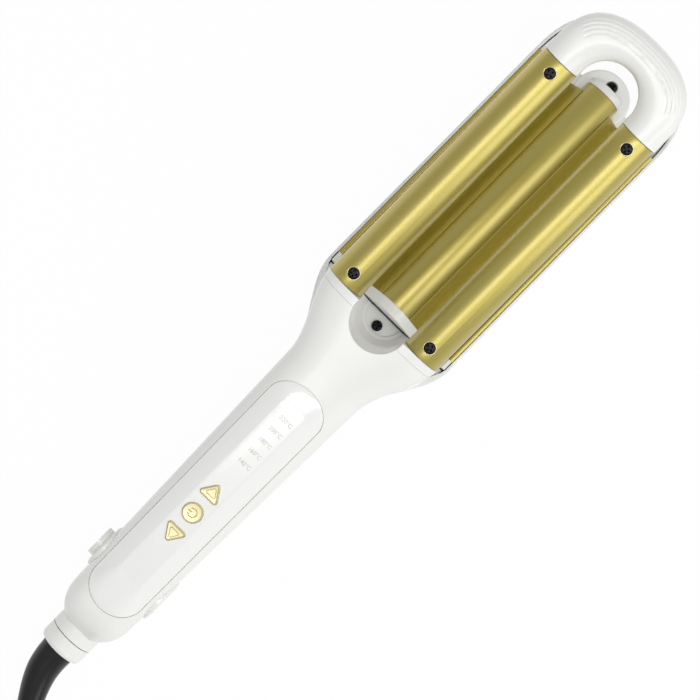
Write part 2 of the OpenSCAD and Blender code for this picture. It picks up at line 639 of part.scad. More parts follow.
// Covers on the facing side of the rear arm
module rear_handle_cover() color(white) on_rear() difference() {
    arm_plate(cover_x0, neck_cover_x0 - 0.3, rear_face - cover_t, cover_t,
        halves(cover_x0, neck_cover_x0 - 0.3, 8, false), shell_t + fit_gap, 8);
    for (x = rear_cover_screw_x) translate([x, 0, -10]) cylinder(h = 12, r = 1.6);
}
module rear_neck_cover() color(white) on_rear() difference() {
    union() {
        arm_plate(neck_cover_x0, neck_seam_x, rear_face - cover_t, cover_t,
            halves(neck_cover_x0, neck_seam_x, 3, false), shell_t + fit_gap, 3);
        translate([neck_seam_x, 0, rear_face - dish_depth - cover_t]) cylinder(h = dish_depth + cover_t, r = dish_r);
    }
    translate([neck_seam_x, 0, rear_face - dish_depth]) cylinder(h = dish_depth + 0.01, r1 = 10.6, r2 = dish_r - 1);
    translate([neck_seam_x, 0, rear_face - dish_depth - 0.6]) cylinder(h = 2, r = 9.2);
    translate([neck_seam_x, -40, -30]) cube([40, 80, 40]);
    translate([rear_screw_x[0], 0, -20]) cylinder(h = 22, r = 1.3);
}

// White insulating strip across the jaw, with a spigot for the middle barrel
module jaw_profile(w, r_out, r_mid, low) difference() {
    union() {
        polygon([[-w, rim_z - 1], [-w, -1], [3 - w, low], [w - 3, low], [w, -1], [w, rim_z - 1]]);
        translate([0, mid_z]) circle(r = r_mid);
    }
    for (s = [-1, 1]) translate([s * barrel_pitch, barrel_z]) circle(r = r_out);
}
module rear_collar() color(white) on_rear() {
    difference() {
        translate([collar_back, 0, 0]) rotate([90, 0, 90]) linear_extrude(plate_x - collar_back) difference() {
            jaw_profile(rear_w(collar_back) - rim_t - 2 * fit_gap, trough_r - 0.4, barrel_r + 1, -10);
            difference() {
                translate([-barrel_pitch, 2.9]) square([2 * barrel_pitch, 20]);
                translate([0, mid_z]) circle(r = barrel_r + 1);
            }
        }
        for (s = [-1, 1]) along_x(collar_back - 1, plate_x + 1, lead_r + 0.2, s * lead_y, lead_z);
    }
    spigot(collar_back + 1, mid_x + 13, 0, mid_z);
}

// Wave plate: one bent sheet, a trough under each outer barrel and a cradle under the middle one
cradle_r = barrel_r + 0.7;
module plate_section() {
    for (s = [-1, 1]) difference() {
        translate([s * barrel_pitch, barrel_z]) circle(r = trough_r + plate_t);
        translate([s * barrel_pitch, barrel_z]) circle(r = trough_r);
        translate([-60, barrel_z - 2]) square([120, 40]);
        translate([-barrel_pitch, 2.8]) square([2 * barrel_pitch, 40]);
    }
    difference() {
        translate([0, mid_z]) circle(r = cradle_r + plate_t);
        translate([0, mid_z]) circle(r = cradle_r);
        translate([-60, 2.8]) square([120, 40]);
    }
    for (s = [-1, 1]) difference() {
        translate([s * (cradle_r + 3) - 3.2, 1.2]) square([6.4, 1.6]);
        translate([0, mid_z]) circle(r = cradle_r);
        translate([s * barrel_pitch, barrel_z]) circle(r = trough_r);
    }
}
module wave_plate() color(gold) on_rear()
    translate([plate_x, 0, 0]) rotate([90, 0, 90]) linear_extrude(plate_end - plate_x) plate_section();

// White end of the rear arm: deck, domed tongue and the cap behind the middle barrel
module rear_tip_end() color(white) on_rear() {
    difference() {
        union() {
            intersection() {
                arm_plate(plate_end, deck_end, deck_z - deck_t, deck_t,
                    halves(plate_end + 2.4, deck_end + 2.4, 2, false), rim_t + 2 * fit_gap, 2);
                translate([plate_end, -40, deck_z - deck_t]) cube([deck_end - plate_end, 80, deck_t]);
            }
            translate([tongue_x, 0, deck_z - deck_t]) cylinder(h = deck_t + tongue_z - deck_z, r = tongue_r);
            translate([tongue_x - 1.4, 0, 0]) intersection() {
                along_x(0, mid_end - tongue_x + 4.8, barrel_r + 0.7, 0, mid_z);
                translate([0, -40, deck_z]) cube([40, 80, 40]);
            }
        }
        difference() {
            translate([tongue_x, 0, -20]) cylinder(h = 40, r = loop_r + 0.2);
            translate([tongue_x, 0, -21]) cylinder(h = 42, r = tongue_r);
            translate([tongue_x - 40, -40, -22]) cube([42.5, 80, 44]);
        }
        translate([plate_end - 20, -40, -20]) cube([20, 80, 40]);
        along_x(mid_end - 20, mid_end + 0.4, barrel_r + 0.1, 0, mid_z);
        translate([rear_screw_x[1], 0, tongue_z - 1.6]) cylinder(h = 20, r = 3);
        translate([rear_screw_x[1], 0, -20]) cylinder(h = 40, r = 1.3);
    }
    spigot(mid_end - 13, mid_end + 1, 0, mid_z);
}

// Screws of the rear arm that show when it is open
module rear_screws() color(black) on_rear() {
    translate([rear_screw_x[0], 0, rear_face - dish_depth - 0.58]) screw(2.65, 1.4, 1.2, 8);
    translate([rear_screw_x[1], 0, tongue_z - 1.58]) screw(2.65, 1.4, 1.2, 8);
}
module rear_cover_screws() color(black) on_rear() for (x = rear_cover_screw_x)
    translate([x, 0, rear_face - 1.2]) screw(1.55, 1, 1.2, 5);

// Hinge frame: two cheeks on the bushes, joined by a bridge that is screwed into the rear shell
bridge_z = -10.4;
module cheek() difference() {
    union() {
        along_y(cheek_in, cheek_out, cheek_r);
        translate([0, cheek_in, bridge_z + 2]) cube([dome_start + 24, 2.2, 5.4]);
    }
    along_y(cheek_in - 1, cheek_out + 1, journal_r + run_gap);
}
module hinge_frame() color(silver) on_rear() {
    cheek();
    mirror([0, 1, 0]) cheek();
    translate([dome_start + 4, -cheek_in - 2.2, bridge_z]) cube([20, 2 * cheek_in + 4.4, 2.2]);
    for (s = [-1, 1]) translate([dome_start + 14, s * 6, -handle_bottom + shell_t + 1.2])
        cylinder(h = handle_bottom - shell_t - 1.2 + bridge_z, r = 3.5);
    rotate([0, -open_angle / 2, 0]) translate([-lug_r, -cheek_in - 0.1, -0.4]) cube([2.4, 3.2, 0.8]);
}

// Hinge spring: a coil round the lock button, one leg on the bridge and one under the front shell
spring_r = 10.4;
spring_pitch = spring_wire + 0.1;
spring_turns = 4;
spring_y = 0.6;
module torsion_spring() color(silver) on_rear() {
    n = 20;
    coil = [for (k = [0 : spring_turns * n - n / 2])
        let (a = -90 - 360 * k / n)
        [spring_r * cos(a), spring_y + spring_pitch * k / n, spring_r * sin(a)]];
    last = coil[len(coil) - 1];
    skin([for (i = [0 : len(coil) - 1])
        let (a = -90 - 360 * i / n)
        [for (k = [0 : 5]) coil[i] + spring_wire / 2 * (cos(60 * k) * [cos(a), 0, sin(a)] + sin(60 * k) * [0, 1, 0])]]);
    for (leg = [[coil[0], [dome_start + 10, spring_y, bridge_z + 4]],
        [last, [dome_start - 2, last[1], spring_seat_z + 3.6]]])
        tube([leg[0], (leg[0] + leg[1]) / 2, leg[1]], spring_wire / 2, 8);
}

// Swivelling piece: collar outside, spindle through the bearing, and a flange behind it
module swivel_collar() color(white) on_front() {
    rotate([0, 90, 0]) translate([0, 0, -swivel_end]) rotate_extrude() polygon([
        [0, 0], [swivel_d / 2 - 2, 0], [swivel_d / 2 - 0.6, 0.6], [swivel_d / 2, 2],
        [swivel_d / 2, swivel_end + swivel_x - 0.4], [0, swivel_end + swivel_x - 0.4]]);
    along_x(swivel_x - 0.5, flange_x + 3, spindle_r);
    along_x(flange_x, flange_x + 1.6, spindle_r + 1.6);
    along_x(flange_x + 3, flange_x + 15, 4);
}
module slip_rings() color(brass) on_front() for (x = ring_x) difference() {
    along_x(x, x + 2.4, 5);
    along_x(x - 1, x + 4, 4.02);
}

// Cord: its route behind the swivel, chosen by hand, in the frame of the table. It is wound into a flat
// coil in two layers. From the top layer it climbs and bends to the plug, which lies on the coil.
tail_z = jaw_depth - swivel_end * sin(open_angle);
tail_x = -swivel_end * cos(open_angle);
boot_route = [
    [tail_x, 0, tail_z], [-54.5, -0.3, 12.2], [-60.5, -1.3, 10.9], [-66.5, -3.4, 9.7], [-72.3, -6.2, 8.6],
    [-78, -9.4, 7.5], [-83.6, -12.8, 6.5], [-89.2, -16.2, 5.7], [-94.7, -19.5, 5.1], [-100.2, -22.8, 4.7],
    [-105.7, -26.1, 4.5]];
boot_radii = [for (share = [1, 0.96, 0.915, 0.845, 0.77, 0.71, 0.65, 0.6, 0.555, 0.52, 0.495]) share * boot_d / 2];
lead_route = [[-105.7, -26.1, 4.5], [-110.3, -28.9, 4.3], [-114.9, -31.6, 4.1], [-119.4, -34.3, 3.9]];
coil_mid = [-160, -3.7];
coil_r = 47.2;
coil_rows = 4;
strap_t = 0.5;
strap_w = 8;
floor_gap = 0.2;
coil_z = floor_gap + strap_t;
coil_height = 2 * cord_d;
plug_h = 13.7;
plug_z = coil_z + coil_height + 0.1 + plug_h / 2;
climb_angle = 35;
bend_angle = -20;
bend_r = 32;
bend_mid = coil_mid + (coil_r - bend_r) * [cos(bend_angle), sin(bend_angle)];
climb_len = 76;
function climb(a) = (climb_angle - max(a, bend_angle)) * PI / 180 * coil_r
    + (bend_angle - min(a, bend_angle)) * PI / 180 * bend_r;
function tail_point(a) =
    let (p = a > bend_angle ? coil_mid + coil_r * [cos(a), sin(a)] : bend_mid + bend_r * [cos(a), sin(a)])
    [p[0], p[1], plug_z - (plug_z - coil_z - coil_height + cord_d / 2) * (1 - ease(0, climb_len, climb(a)))];
tail_route = [for (a = [0, -10, -20, -34, -48, -62, -76, -90]) tail_point(a)];
module cord_boot() color(black) on_table() tube(boot_route, boot_radii, 16);
module cord_lead() color(black) on_table() tube(lead_route, cord_d / 2, 10);
module cord_tail() color(black) on_table() tube(tail_route, cord_d / 2, 10);
module cord_coil() color(black) on_table() translate([coil_mid[0], coil_mid[1], coil_z]) rotate_extrude() polygon([
    [coil_r - (coil_rows - 0.5) * cord_d, cord_d / 4], [coil_r - (coil_rows - 0.8) * cord_d, 0],
    [coil_r + cord_d * 0.3, 0], [coil_r + cord_d / 2, cord_d / 4],
    [coil_r + cord_d / 2, coil_height - cord_d / 4], [coil_r + cord_d * 0.3, coil_height],
    [coil_r - (coil_rows - 0.8) * cord_d, coil_height],
    [coil_r - (coil_rows - 0.5) * cord_d, coil_height - cord_d / 4]]);

// Strap round the coil's turns
module cord_tie() color(black) on_table()
    translate([coil_mid[0] - coil_r + (coil_rows - 1) * cord_d / 2, coil_mid[1] + strap_w / 2, coil_z + coil_height / 2])
        rotate([90, 0, 0]) linear_extrude(strap_w) difference() {
            square([coil_rows * cord_d + 1 + 2 * strap_t, coil_height + 2 * strap_t], center = true);
            square([coil_rows * cord_d + 1, coil_height], center = true);
        }

// Plug with two round pins that point to -X, each on a thinner shank that is moulded in
plug_len = 34;
plug_w = 30;
plug_head = 14;
plug_corner = 3;
pin_r = 2;
pin_pitch = 18.6;
pin_len = 19;
shank_r = 1.4;
shank_len = 8;
shank_neck = 0.4;
module at_plug() on_table() translate(tail_point(-90)) mirror([1, 0, 0]) children();
module plug_body() color(black) at_plug() difference() {
    hull() {
        along_x(0, 1, cord_d / 2 + 1.2, $fn = 32);
        translate([plug_len - plug_head, -plug_w / 2 + plug_corner, -plug_h / 2])
            cube([plug_head, plug_w - 2 * plug_corner, plug_h]);
        translate([plug_len - plug_head, -plug_w / 2, -plug_h / 2 + plug_corner])
            cube([plug_head, plug_w, plug_h - 2 * plug_corner]);
    }
    for (s = [-1, 1]) along_x(plug_len - shank_len, plug_len + 1, shank_r, s * pin_pitch / 2);
}
module plug_pins() color(silver) at_plug() for (s = [-1, 1]) {
    along_x(plug_len - shank_len, plug_len + shank_neck + 0.5, shank_r, s * pin_pitch / 2);
    along_x(plug_len + shank_neck, plug_len + pin_len, pin_r, s * pin_pitch / 2);
}

front_shell();
tail_cover();
front_inner_cover();
control_panel();
light_guide();
circuit_board();
board_parts();
tact_switches();
status_leds();
barrel_carrier();
left_barrel();
right_barrel();
left_spreader();
right_spreader();
left_heater();
right_heater();
tip_head();
tip_head_base();
barrel_screws();
head_screws();
front_cover_screws();
hinge_bushes();
swivel_bearing();
contact_springs();
front_leads();
rear_shell();
rear_handle_cover();
rear_neck_cover();
rear_collar();
wave_plate();
middle_barrel();
middle_spreader();
middle_heater();
rear_tip_end();
rear_screws();
rear_cover_screws();
hinge_frame();
torsion_spring();
rear_leads();
power_button();
up_button();
down_button();
lock_button();
swivel_collar();
slip_rings();
cord_boot();
cord_lead();
cord_coil();
cord_tail();
cord_tie();
plug_body();
plug_pins();
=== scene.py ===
import json
import math
import bmesh
import bpy
from mathutils import Matrix, Vector


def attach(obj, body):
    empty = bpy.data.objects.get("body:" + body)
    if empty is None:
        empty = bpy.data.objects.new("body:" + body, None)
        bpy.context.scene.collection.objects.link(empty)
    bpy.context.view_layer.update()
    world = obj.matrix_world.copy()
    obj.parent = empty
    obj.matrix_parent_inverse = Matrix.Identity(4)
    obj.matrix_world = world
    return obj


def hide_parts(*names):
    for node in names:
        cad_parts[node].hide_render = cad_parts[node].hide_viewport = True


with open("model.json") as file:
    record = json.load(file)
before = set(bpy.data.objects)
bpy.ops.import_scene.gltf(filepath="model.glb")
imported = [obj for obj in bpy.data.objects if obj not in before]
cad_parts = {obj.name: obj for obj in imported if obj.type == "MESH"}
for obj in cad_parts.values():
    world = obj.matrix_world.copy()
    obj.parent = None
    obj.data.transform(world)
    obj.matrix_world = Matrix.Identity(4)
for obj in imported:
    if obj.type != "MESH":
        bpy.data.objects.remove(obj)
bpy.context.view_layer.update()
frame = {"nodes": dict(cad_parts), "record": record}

# ---------------------------------------------------------------------------------------------
# Studio. A pale floor under the tool, a long narrow soft box overhead, a wider one at its right
# side, and a camera that looks down on the open arms.

hinge = Vector(next(j["pos_m"] for j in frame["record"]["behaviour"]["joints"] if j["name"] == "arm_hinge"))
open_angle = math.radians(14.3)
look_tilt = math.radians(5.4)
look_roll = math.radians(45.42)
tipward = Vector((math.cos(look_tilt), 0, math.sin(look_tilt)))
leftward = Vector((0, 1, 0))
upward = Vector((-math.sin(look_tilt), 0, math.cos(look_tilt)))
look_at = hinge + 0.14306 * tipward + 0.0010 * leftward
camera_away = 1.895

camera = bpy.data.objects.new("camera", bpy.data.cameras.new("camera"))
camera.data.angle = math.radians(9.72)
camera.data.clip_start, camera.data.clip_end = 0.05, 20
camera.matrix_world = Matrix.Translation(look_at + camera_away * upward) @ Matrix((
    math.cos(look_roll) * tipward - math.sin(look_roll) * leftward,
    math.sin(look_roll) * tipward + math.cos(look_roll) * leftward,
    upward)).transposed().to_4x4()
bpy.context.collection.objects.link(camera)
bpy.context.scene.camera = camera


class Wire:
    """A shader socket. Sums on it add Math nodes, and numbers may stand on either side."""

    def __init__(self, finish, socket):
        self.finish, self.socket = finish, socket

    def math(self, operation, a, b, clamp=False):
        """A Math node's value."""
        return self.finish.node("Math", {"operation": operation, "use_clamp": clamp}, {0: a, 1: b})["Value"]

    def __add__(self, other):
        return self.math("ADD", self, other)

    def __radd__(self, other):
        return self.math("ADD", other, self)

    def __sub__(self, other):
        return self.math("SUBTRACT", self, other)

    def __rsub__(self, other):
        return self.math("SUBTRACT", other, self)

    def __mul__(self, other):
        return self.math("MULTIPLY", self, other)

    def __rmul__(self, other):
        return self.math("MULTIPLY", other, self)

    def within(self):
        """The value held between 0 and 1."""
        return self.math("ADD", self, 0.0, clamp=True)


class Finish:
    """A procedural material: its shader, and one way to add any other node."""

    def __init__(self, name, **constants):
        """A new material, with constants on the shader's own sockets, whose spaces are underscores."""
        self.material = bpy.data.materials.new(name)
        self.material.use_nodes = True
        self.tree = self.material.node_tree
        self.shader = self.tree.nodes["Principled BSDF"]
        for socket, value in constants.items():
            self.shader.inputs[socket.replace("_", " ")].default_value = value

    def node(self, kind, settings=None, sockets=None):
        """A new node's outputs by name, after its settings and sockets are filled in."""
        made = self.tree.nodes.new("ShaderNode" + kind)
        for key, value in (settings or {}).items():
            setattr(made, key, value)
        for key, value in (sockets or {}).items():
            self.join(value, made.inputs[key])
        return {out.name: Wire(self, out) for out in made.outputs if out.enabled}

    def join(self, value, socket):
        """A link to the socket, or its own value."""
        if isinstance(value, Wire):
            self.tree.links.new(value.socket, socket)
        else:
            socket.default_value = value

    def put(self, **sockets):
        """Wires or values on the shader's sockets."""
        for name, value in sockets.items():
            self.join(value, self.shader.inputs[name.replace("_", " ")])
        return self

    def noise(self, place, scale, detail=2.0, rough=0.5):
        """A cloud of values about 0.5, with scale in parts for each metre."""
        return self.node("TexNoise", {"noise_dimensions": "3D"},
                         {"Vector": place, "Scale": scale, "Detail": detail, "Roughness": rough})["Fac"]

    def place(self):
        """The point on the surface, in the piece's own frame."""
        return self.node("TexCoord")["Object"]

    def mixed(self, share, a, b):
        """A colour between two, through the Mix node's factor and its two colour sockets."""
        made = self.tree.nodes.new("ShaderNodeMix")
        made.data_type = "RGBA"
        self.join(share, made.inputs[0])
        self.join(a, made.inputs[6])
        self.join(b, made.inputs[7])
        return Wire(self, made.outputs[2])

    def bump(self, height, strength, distance, edge=None):
        """Relief from a height, over edges that look rounded to a radius where edge gives one."""
        sockets = {"Height": height, "Strength": strength, "Distance": distance}
        if edge:
            sockets["Normal"] = self.node("Bevel", {"samples": 4}, {"Radius": edge})["Normal"]
        return self.node("Bump", None, sockets)["Normal"]


floor_paint = Finish("pale_floor")
rays = floor_paint.node("LightPath")
seen = (rays["Is Camera Ray"] + rays["Is Glossy Ray"] + rays["Is Transmission Ray"]).within()
plain = floor_paint.node("BsdfDiffuse", None, {"Color": (0.88, 0.88, 0.88, 1)})["BSDF"]
bright = floor_paint.node("Emission", None, {"Color": (1, 1, 1, 1), "Strength": 1.0})["Emission"]
paper = floor_paint.node("MixShader", None, {0: seen * 0.97, 1: plain, 2: bright})["Shader"]
floor_paint.tree.links.new(paper.socket, floor_paint.tree.nodes["Material Output"].inputs["Surface"])

floor_reach, floor_z = 4, -0.0004
floor_mesh = bpy.data.meshes.new("floor")
corners = ((-floor_reach, -floor_reach), (floor_reach, -floor_reach), (floor_reach, floor_reach),
           (-floor_reach, floor_reach))
floor_mesh.from_pydata([(x, y, floor_z) for x, y in corners], [], [(0, 1, 2, 3)])
floor_mesh.materials.append(floor_paint.material)
floor = bpy.data.objects.new("floor", floor_mesh)
bpy.context.collection.objects.link(floor)


def soft_lamp(name, away, length, width, power):
    """A soft box that faces the tool, with its length along the tool."""
    lamp = bpy.data.objects.new(name, bpy.data.lights.new(name, "AREA"))
    lamp.data.shape, lamp.data.energy = "RECTANGLE", power
    lamp.data.size, lamp.data.size_y = length, width
    lamp.location = look_at + away
    lamp.rotation_mode = "QUATERNION"
    lamp.rotation_quaternion = (look_at - lamp.location).to_track_quat("-Z", "Y")
    bpy.context.collection.objects.link(lamp)


soft_lamp("top_box", Vector((-0.26, -0.28, 1.7)), 1.4, 0.32, 9.2)
soft_lamp("side_box", Vector((0.2, -1.35, 1.1)), 1.4, 1.0, 8.5)

world = bpy.data.worlds.new("studio")
world.use_nodes = True
world.node_tree.nodes["Background"].inputs["Color"].default_value = (1, 1, 1, 1)
world.node_tree.nodes["Background"].inputs["Strength"].default_value = 0.59
bpy.context.scene.world = world
bpy.context.scene.view_settings.view_transform = "Standard"

# ---------------------------------------------------------------------------------------------
# Mains cord with its boot. A black vinyl cord runs through a tapered rubber boot, lies on the
# table and is wound into a flat coil in two layers, outside the view, under a thin strap.

on_table = Matrix.Translation((hinge.x, 0, 0)) @ Matrix.Scale(0.001, 4)
on_rear = Matrix.Translation(hinge) @ Matrix.Scale(0.001, 4)
front_place = Matrix.Translation(hinge) @ Matrix.Rotation(-open_angle, 4, "Y")
on_front = front_place @ Matrix.Scale(0.001, 4)


def solid(name, shape, place, body, finish=None, sharp=38, replaces=()):
    """A closed mesh in an arm's millimetres, set in its place, with smooth faces and crisp edges."""
    points, faces = shape
    mesh = bpy.data.meshes.new(name)
    mesh.from_pydata([place @ Vector(p) for p in points], [], faces)
    work = bmesh.new()
    work.from_mesh(mesh)
    bmesh.ops.remove_doubles(work, verts=work.verts, dist=2e-6)
    bmesh.ops.dissolve_degenerate(work, edges=work.edges, dist=1e-7)
    bmesh.ops.recalc_face_normals(work, faces=work.faces)
    work.to_mesh(mesh)
    work.free()
    mesh.shade_smooth()
    mesh.set_sharp_from_angle(angle=math.radians(sharp))
    made = bpy.data.objects.new(name, mesh)
    bpy.context.collection.objects.link(made)
    dress(made, body, finish, replaces)
    return made


def dress(made, body, finish, replaces=()):
    """A finish, a body to ride on, and the nodes that the piece stands for, which are hidden."""
    if finish:
        made.data.materials.clear()
        made.data.materials.append(finish.material)
    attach(made, body)
    if replaces:
        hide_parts(*replaces)


def skin(rings, ends=True):
    """Faces through rings of the same number of points."""
    n = len(rings[0])
    faces = [(j * n + i, j * n + (i + 1) % n, (j + 1) * n + (i + 1) % n, (j + 1) * n + i)
             for j in range(len(rings) - 1) for i in range(n)]
    if ends:
        faces += [tuple(range(n - 1, -1, -1)), tuple((len(rings) - 1) * n + i for i in range(n))]
    return [p for ring in rings for p in ring], faces


def tube(route, radii, sides):
    """A round form along a route, with one radius or one for each point."""
    route = [Vector(p) for p in route]
    rings = []
    for i, p in enumerate(route):
        ahead = (route[min(i + 1, len(route) - 1)] - route[max(i - 1, 0)]).normalized()
        side = ahead.cross(Vector((0, 0, 1))).normalized()
        top = side.cross(ahead)
        r = radii[i] if isinstance(radii, list) else radii
        rings.append([p + r * (math.cos(a) * side + math.sin(a) * top)
                      for a in (2 * math.pi * k / sides for k in range(sides))])
    return skin(rings)


def smooth_route(points, parts):
    """A Catmull-Rom line through the points."""
    points = [Vector(p) for p in points]
    ends = [2 * points[0] - points[1]] + points + [2 * points[-1] - points[-2]]
    line = []
    for i in range(1, len(ends) - 2):
        a, b, c, d = ends[i - 1:i + 3]
        for k in range(parts):
            t = k / parts
            line.append(0.5 * (2 * b + (c - a) * t + (2 * a - 5 * b + 4 * c - d) * t ** 2
                               + (3 * b - a - 3 * c + d) * t ** 3))
    return line + [points[-1]]


cord_d = 6.5
tail = Vector((-50 * math.cos(open_angle), 0, 26 - 50 * math.sin(open_angle)))
boot_route = [tail, (-54.5, -0.3, 12.2), (-60.5, -1.3, 10.9), (-66.5, -3.4, 9.7), (-72.3, -6.2, 8.6),
              (-78, -9.4, 7.5), (-83.6, -12.8, 6.5), (-89.2, -16.2, 5.7), (-94.7, -19.5, 5.1),
              (-100.2, -22.8, 4.7), (-105.7, -26.1, 4.5)]
lead_route = [boot_route[-1], (-110.3, -28.9, 4.25), (-114.9, -31.6, 4.05), (-119.4, -34.3, 3.95)]
coil_mid, coil_r, layer_turns, step_share = Vector((-160, -3.7)), 47.2, 3.39, 0.35
low_row, high_row, plug_z = 3.95, 10.45, 20.65
bend_from, bend_r, climb_length = -20, 32, 76
turn_parts, boot_parts = 40, 6


def ease(a, b, x):
    """A smooth step from 0 at a to 1 at b."""
    t = min(1, max(0, (x - a) / (b - a)))
    return t * t * (3 - 2 * t)


def coil_point(turn):
    """The coil's centreline: rings that step in by a cord, a climb to the second layer, and out again."""
    u = min(turn, 2 * layer_turns - turn)
    r = coil_r - cord_d * (int(u) + ease(1 - step_share, 1, u - int(u)))
    a = math.radians(-59 - 360 * turn)
    z = low_row + (high_row - low_row) * ease(layer_turns - 0.2, layer_turns + 0.2, turn)
    return Vector((coil_mid.x + r * math.cos(a), coil_mid.y + r * math.sin(a), z))


def tail_point(degrees):
    """The climb from the top layer, which bends to the plug that lies on the coil."""
    climb = (math.radians(35 - max(degrees, bend_from)) * coil_r
             + math.radians(bend_from - min(degrees, bend_from)) * bend_r)
    out = Vector((math.cos(math.radians(degrees)), math.sin(math.radians(degrees))))
    bend = Vector((math.cos(math.radians(bend_from)), math.sin(math.radians(bend_from))))
    p = coil_mid + coil_r * out if degrees > bend_from else coil_mid + (coil_r - bend_r) * bend + bend_r * out
    return Vector((p.x, p.y, plug_z - (plug_z - high_row) * (1 - ease(0, climb_length, climb))))


coil_line = [coil_point(k / turn_parts) for k in range(1, int((2 * layer_turns - 0.05) * turn_parts))]
tail_line = [tail_point(33 - 7 * k) for k in range(18)] + [tail_point(-90)]
cord_line = smooth_route(boot_route, 2) + smooth_route(lead_route, 2)[1:] + coil_line + tail_line

rubber = Finish("black_vinyl", IOR=1.5, Specular_IOR_Level=0.4)
spot = rubber.place()
grain = rubber.noise(spot, 900, 3)
cloud = rubber.noise(spot, 40, 2)
rubber.put(Base_Color=rubber.mixed(cloud, (0.004, 0.004, 0.0045, 1), (0.008, 0.0078, 0.0078, 1)),
           Roughness=0.2 + cloud * 0.12, Normal=rubber.bump(grain, 0.12, 0.0002))

line = bpy.data.curves.new("mains_cord", "CURVE")
line.dimensions, line.bevel_depth, line.bevel_resolution, line.use_fill_caps = "3D", cord_d / 2000, 6, True
spline = line.splines.new("POLY")
spline.points.add(len(cord_line) - 1)
for point, p in zip(spline.points, cord_line):
    point.co = (*(on_table @ p), 1)
spline.use_smooth = True
line.materials.append(rubber.material)
mains_cord = bpy.data.objects.new("mains_cord", line)
bpy.context.collection.objects.link(mains_cord)
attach(mains_cord, "cord_swivel")
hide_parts("cord_lead", "cord_coil", "cord_tail")

boot_r = [8.3 * s for s in (1, 0.96, 0.915, 0.845, 0.77, 0.71, 0.65, 0.6, 0.555, 0.52, 0.495)]
boot_line, boot_sizes = smooth_route(boot_route, boot_parts), []
for i in range(len(boot_line)):
    k = i / boot_parts
    a, b = boot_r[int(k)], boot_r[min(int(k) + 1, len(boot_r) - 1)]
    boot_sizes.append(a + (b - a) * (k - int(k)))
boot_sizes[-1] -= 0.5
boot = solid("strain_relief_boot", tube(boot_line, boot_sizes, 40), on_table, "cord_swivel", rubber,
             replaces=["cord_boot"])

cord_length = sum((b - a).length for a, b in zip(cord_line, cord_line[1:])) / 1000

# ---------------------------------------------------------------------------------------------
# Rear arm's shell. One white nylon moulding from the hinge to the tip, a deep trough whose rim
# wraps the jaw. A crescent is left open round the tongue, and its edges are rounded.


neck_x, collar_x, jaw_x = 126, 167, 168
tip_x, tip_length = 300, 39.9


def power(v, e):
    """A power that keeps the sign."""
    return math.copysign(abs(v) ** e, v) if v else 0.0


def dome(x):
    """The share of the full section at the handle's round end."""
    return 1 if x > -20 else math.sqrt(max(0, 1 - ((-20 - x) / 18) ** 2))


def handle_half(x):
    """Half the handle's width, which grows slightly towards the neck."""
    return dome(x) * (17.8 + 0.0235 * min(x, collar_x))


def half_width(x, jaw_half):
    """Half an arm's width, which flares from the handle's to the jaw's."""
    return handle_half(x) + (jaw_half - handle_half(collar_x)) * ease(neck_x, jaw_x, x)


def squareness(x):
    """The exponent of the arms' squarish oval section."""
    return 3.4 + 0.6 * ease(neck_x, collar_x, x)


def tip_round(x, e):
    """The share of the full section towards the rear arm's tip."""
    return (1 - min(1, max(0, x - tip_x) / tip_length) ** e) ** (1 / e)


def rear_width(x):
    """Half the rear arm's width."""
    return half_width(x, 38.4) * tip_round(x, 3.5)


def rear_depth(x):
    """How far the rear arm's back lies under the parting plane."""
    return (18 + 8 * ease(120, 159, x)) * tip_round(x, 2.4)


def rim_height(x):
    """The top of the rear shell's rim, which stands up beside the jaw."""
    return -0.6 + 7.6 * (ease(154, 174, x) - ease(306, 322, x))


def arc_of(x, w, z0, depth, e, steps=48):
    """Half of a squarish oval at x, from its +Y side over the back to its -Y side."""
    return [(x, w * power(math.cos(t), 2 / e), z0 + (depth - z0) * power(math.sin(t), 2 / e))
            for t in (math.pi * k / steps for k in range(steps + 1))]


def loose(shape):
    """A clean mesh in an arm's millimetres, for joining and cutting."""
    mesh = bpy.data.meshes.new("loose")
    mesh.from_pydata([tuple(p) for p in shape[0]], [], shape[1])
    work = bmesh.new()
    work.from_mesh(mesh)
    bmesh.ops.remove_doubles(work, verts=work.verts, dist=1e-4)
    bmesh.ops.dissolve_degenerate(work, edges=work.edges, dist=1e-4)
    bmesh.ops.recalc_face_normals(work, faces=work.faces)
    work.to_mesh(mesh)
    work.free()
    made = bpy.data.objects.new("loose", mesh)
    bpy.context.collection.objects.link(made)
    return made


def carve(shape, **steps):
    """The closed form after each step, which joins, keeps or cuts with some forms.

    A step's name may go on after an underscore, because each name comes once.
    """
    made, tools = loose(shape), []
    for step, forms in steps.items():
        for form in forms:
            tool = loose(form)
            change = made.modifiers.new(step, "BOOLEAN")
            change.operation = {"join": "UNION", "keep": "INTERSECT", "cut": "DIFFERENCE"}[step.split("_")[0]]
            change.solver, change.object = "EXACT", tool
            tools.append(tool)
    mesh = bpy.data.meshes.new_from_object(made.evaluated_get(bpy.context.evaluated_depsgraph_get()))
    result = [tuple(v.co) for v in mesh.vertices], [tuple(f.vertices) for f in mesh.polygons]
    for item in [made] + tools:
        bpy.data.objects.remove(item)
    return result


def prism(outline, z0, z1):
    """A closed form with one outline at two heights."""
    return skin([[(x, y, z0) for x, y in outline], [(x, y, z1) for x, y in outline]])


def circle(r, x=0.0, y=0.0, sides=96):
    """A round outline."""
    return [(x + r * math.cos(2 * math.pi * k / sides), y + r * math.sin(2 * math.pi * k / sides))
            for k in range(sides)]


def turned(shape, order):
    """The same form with its axes in another order, so that a rod along z lies along x or y."""
    return [tuple(p[i] for i in order) for p in shape[0]], shape[1]


def rod_y(y0, y1, r):
    """A rod along y through the hinge's axis."""
    return turned(prism(circle(r), y0, y1), (0, 2, 1))


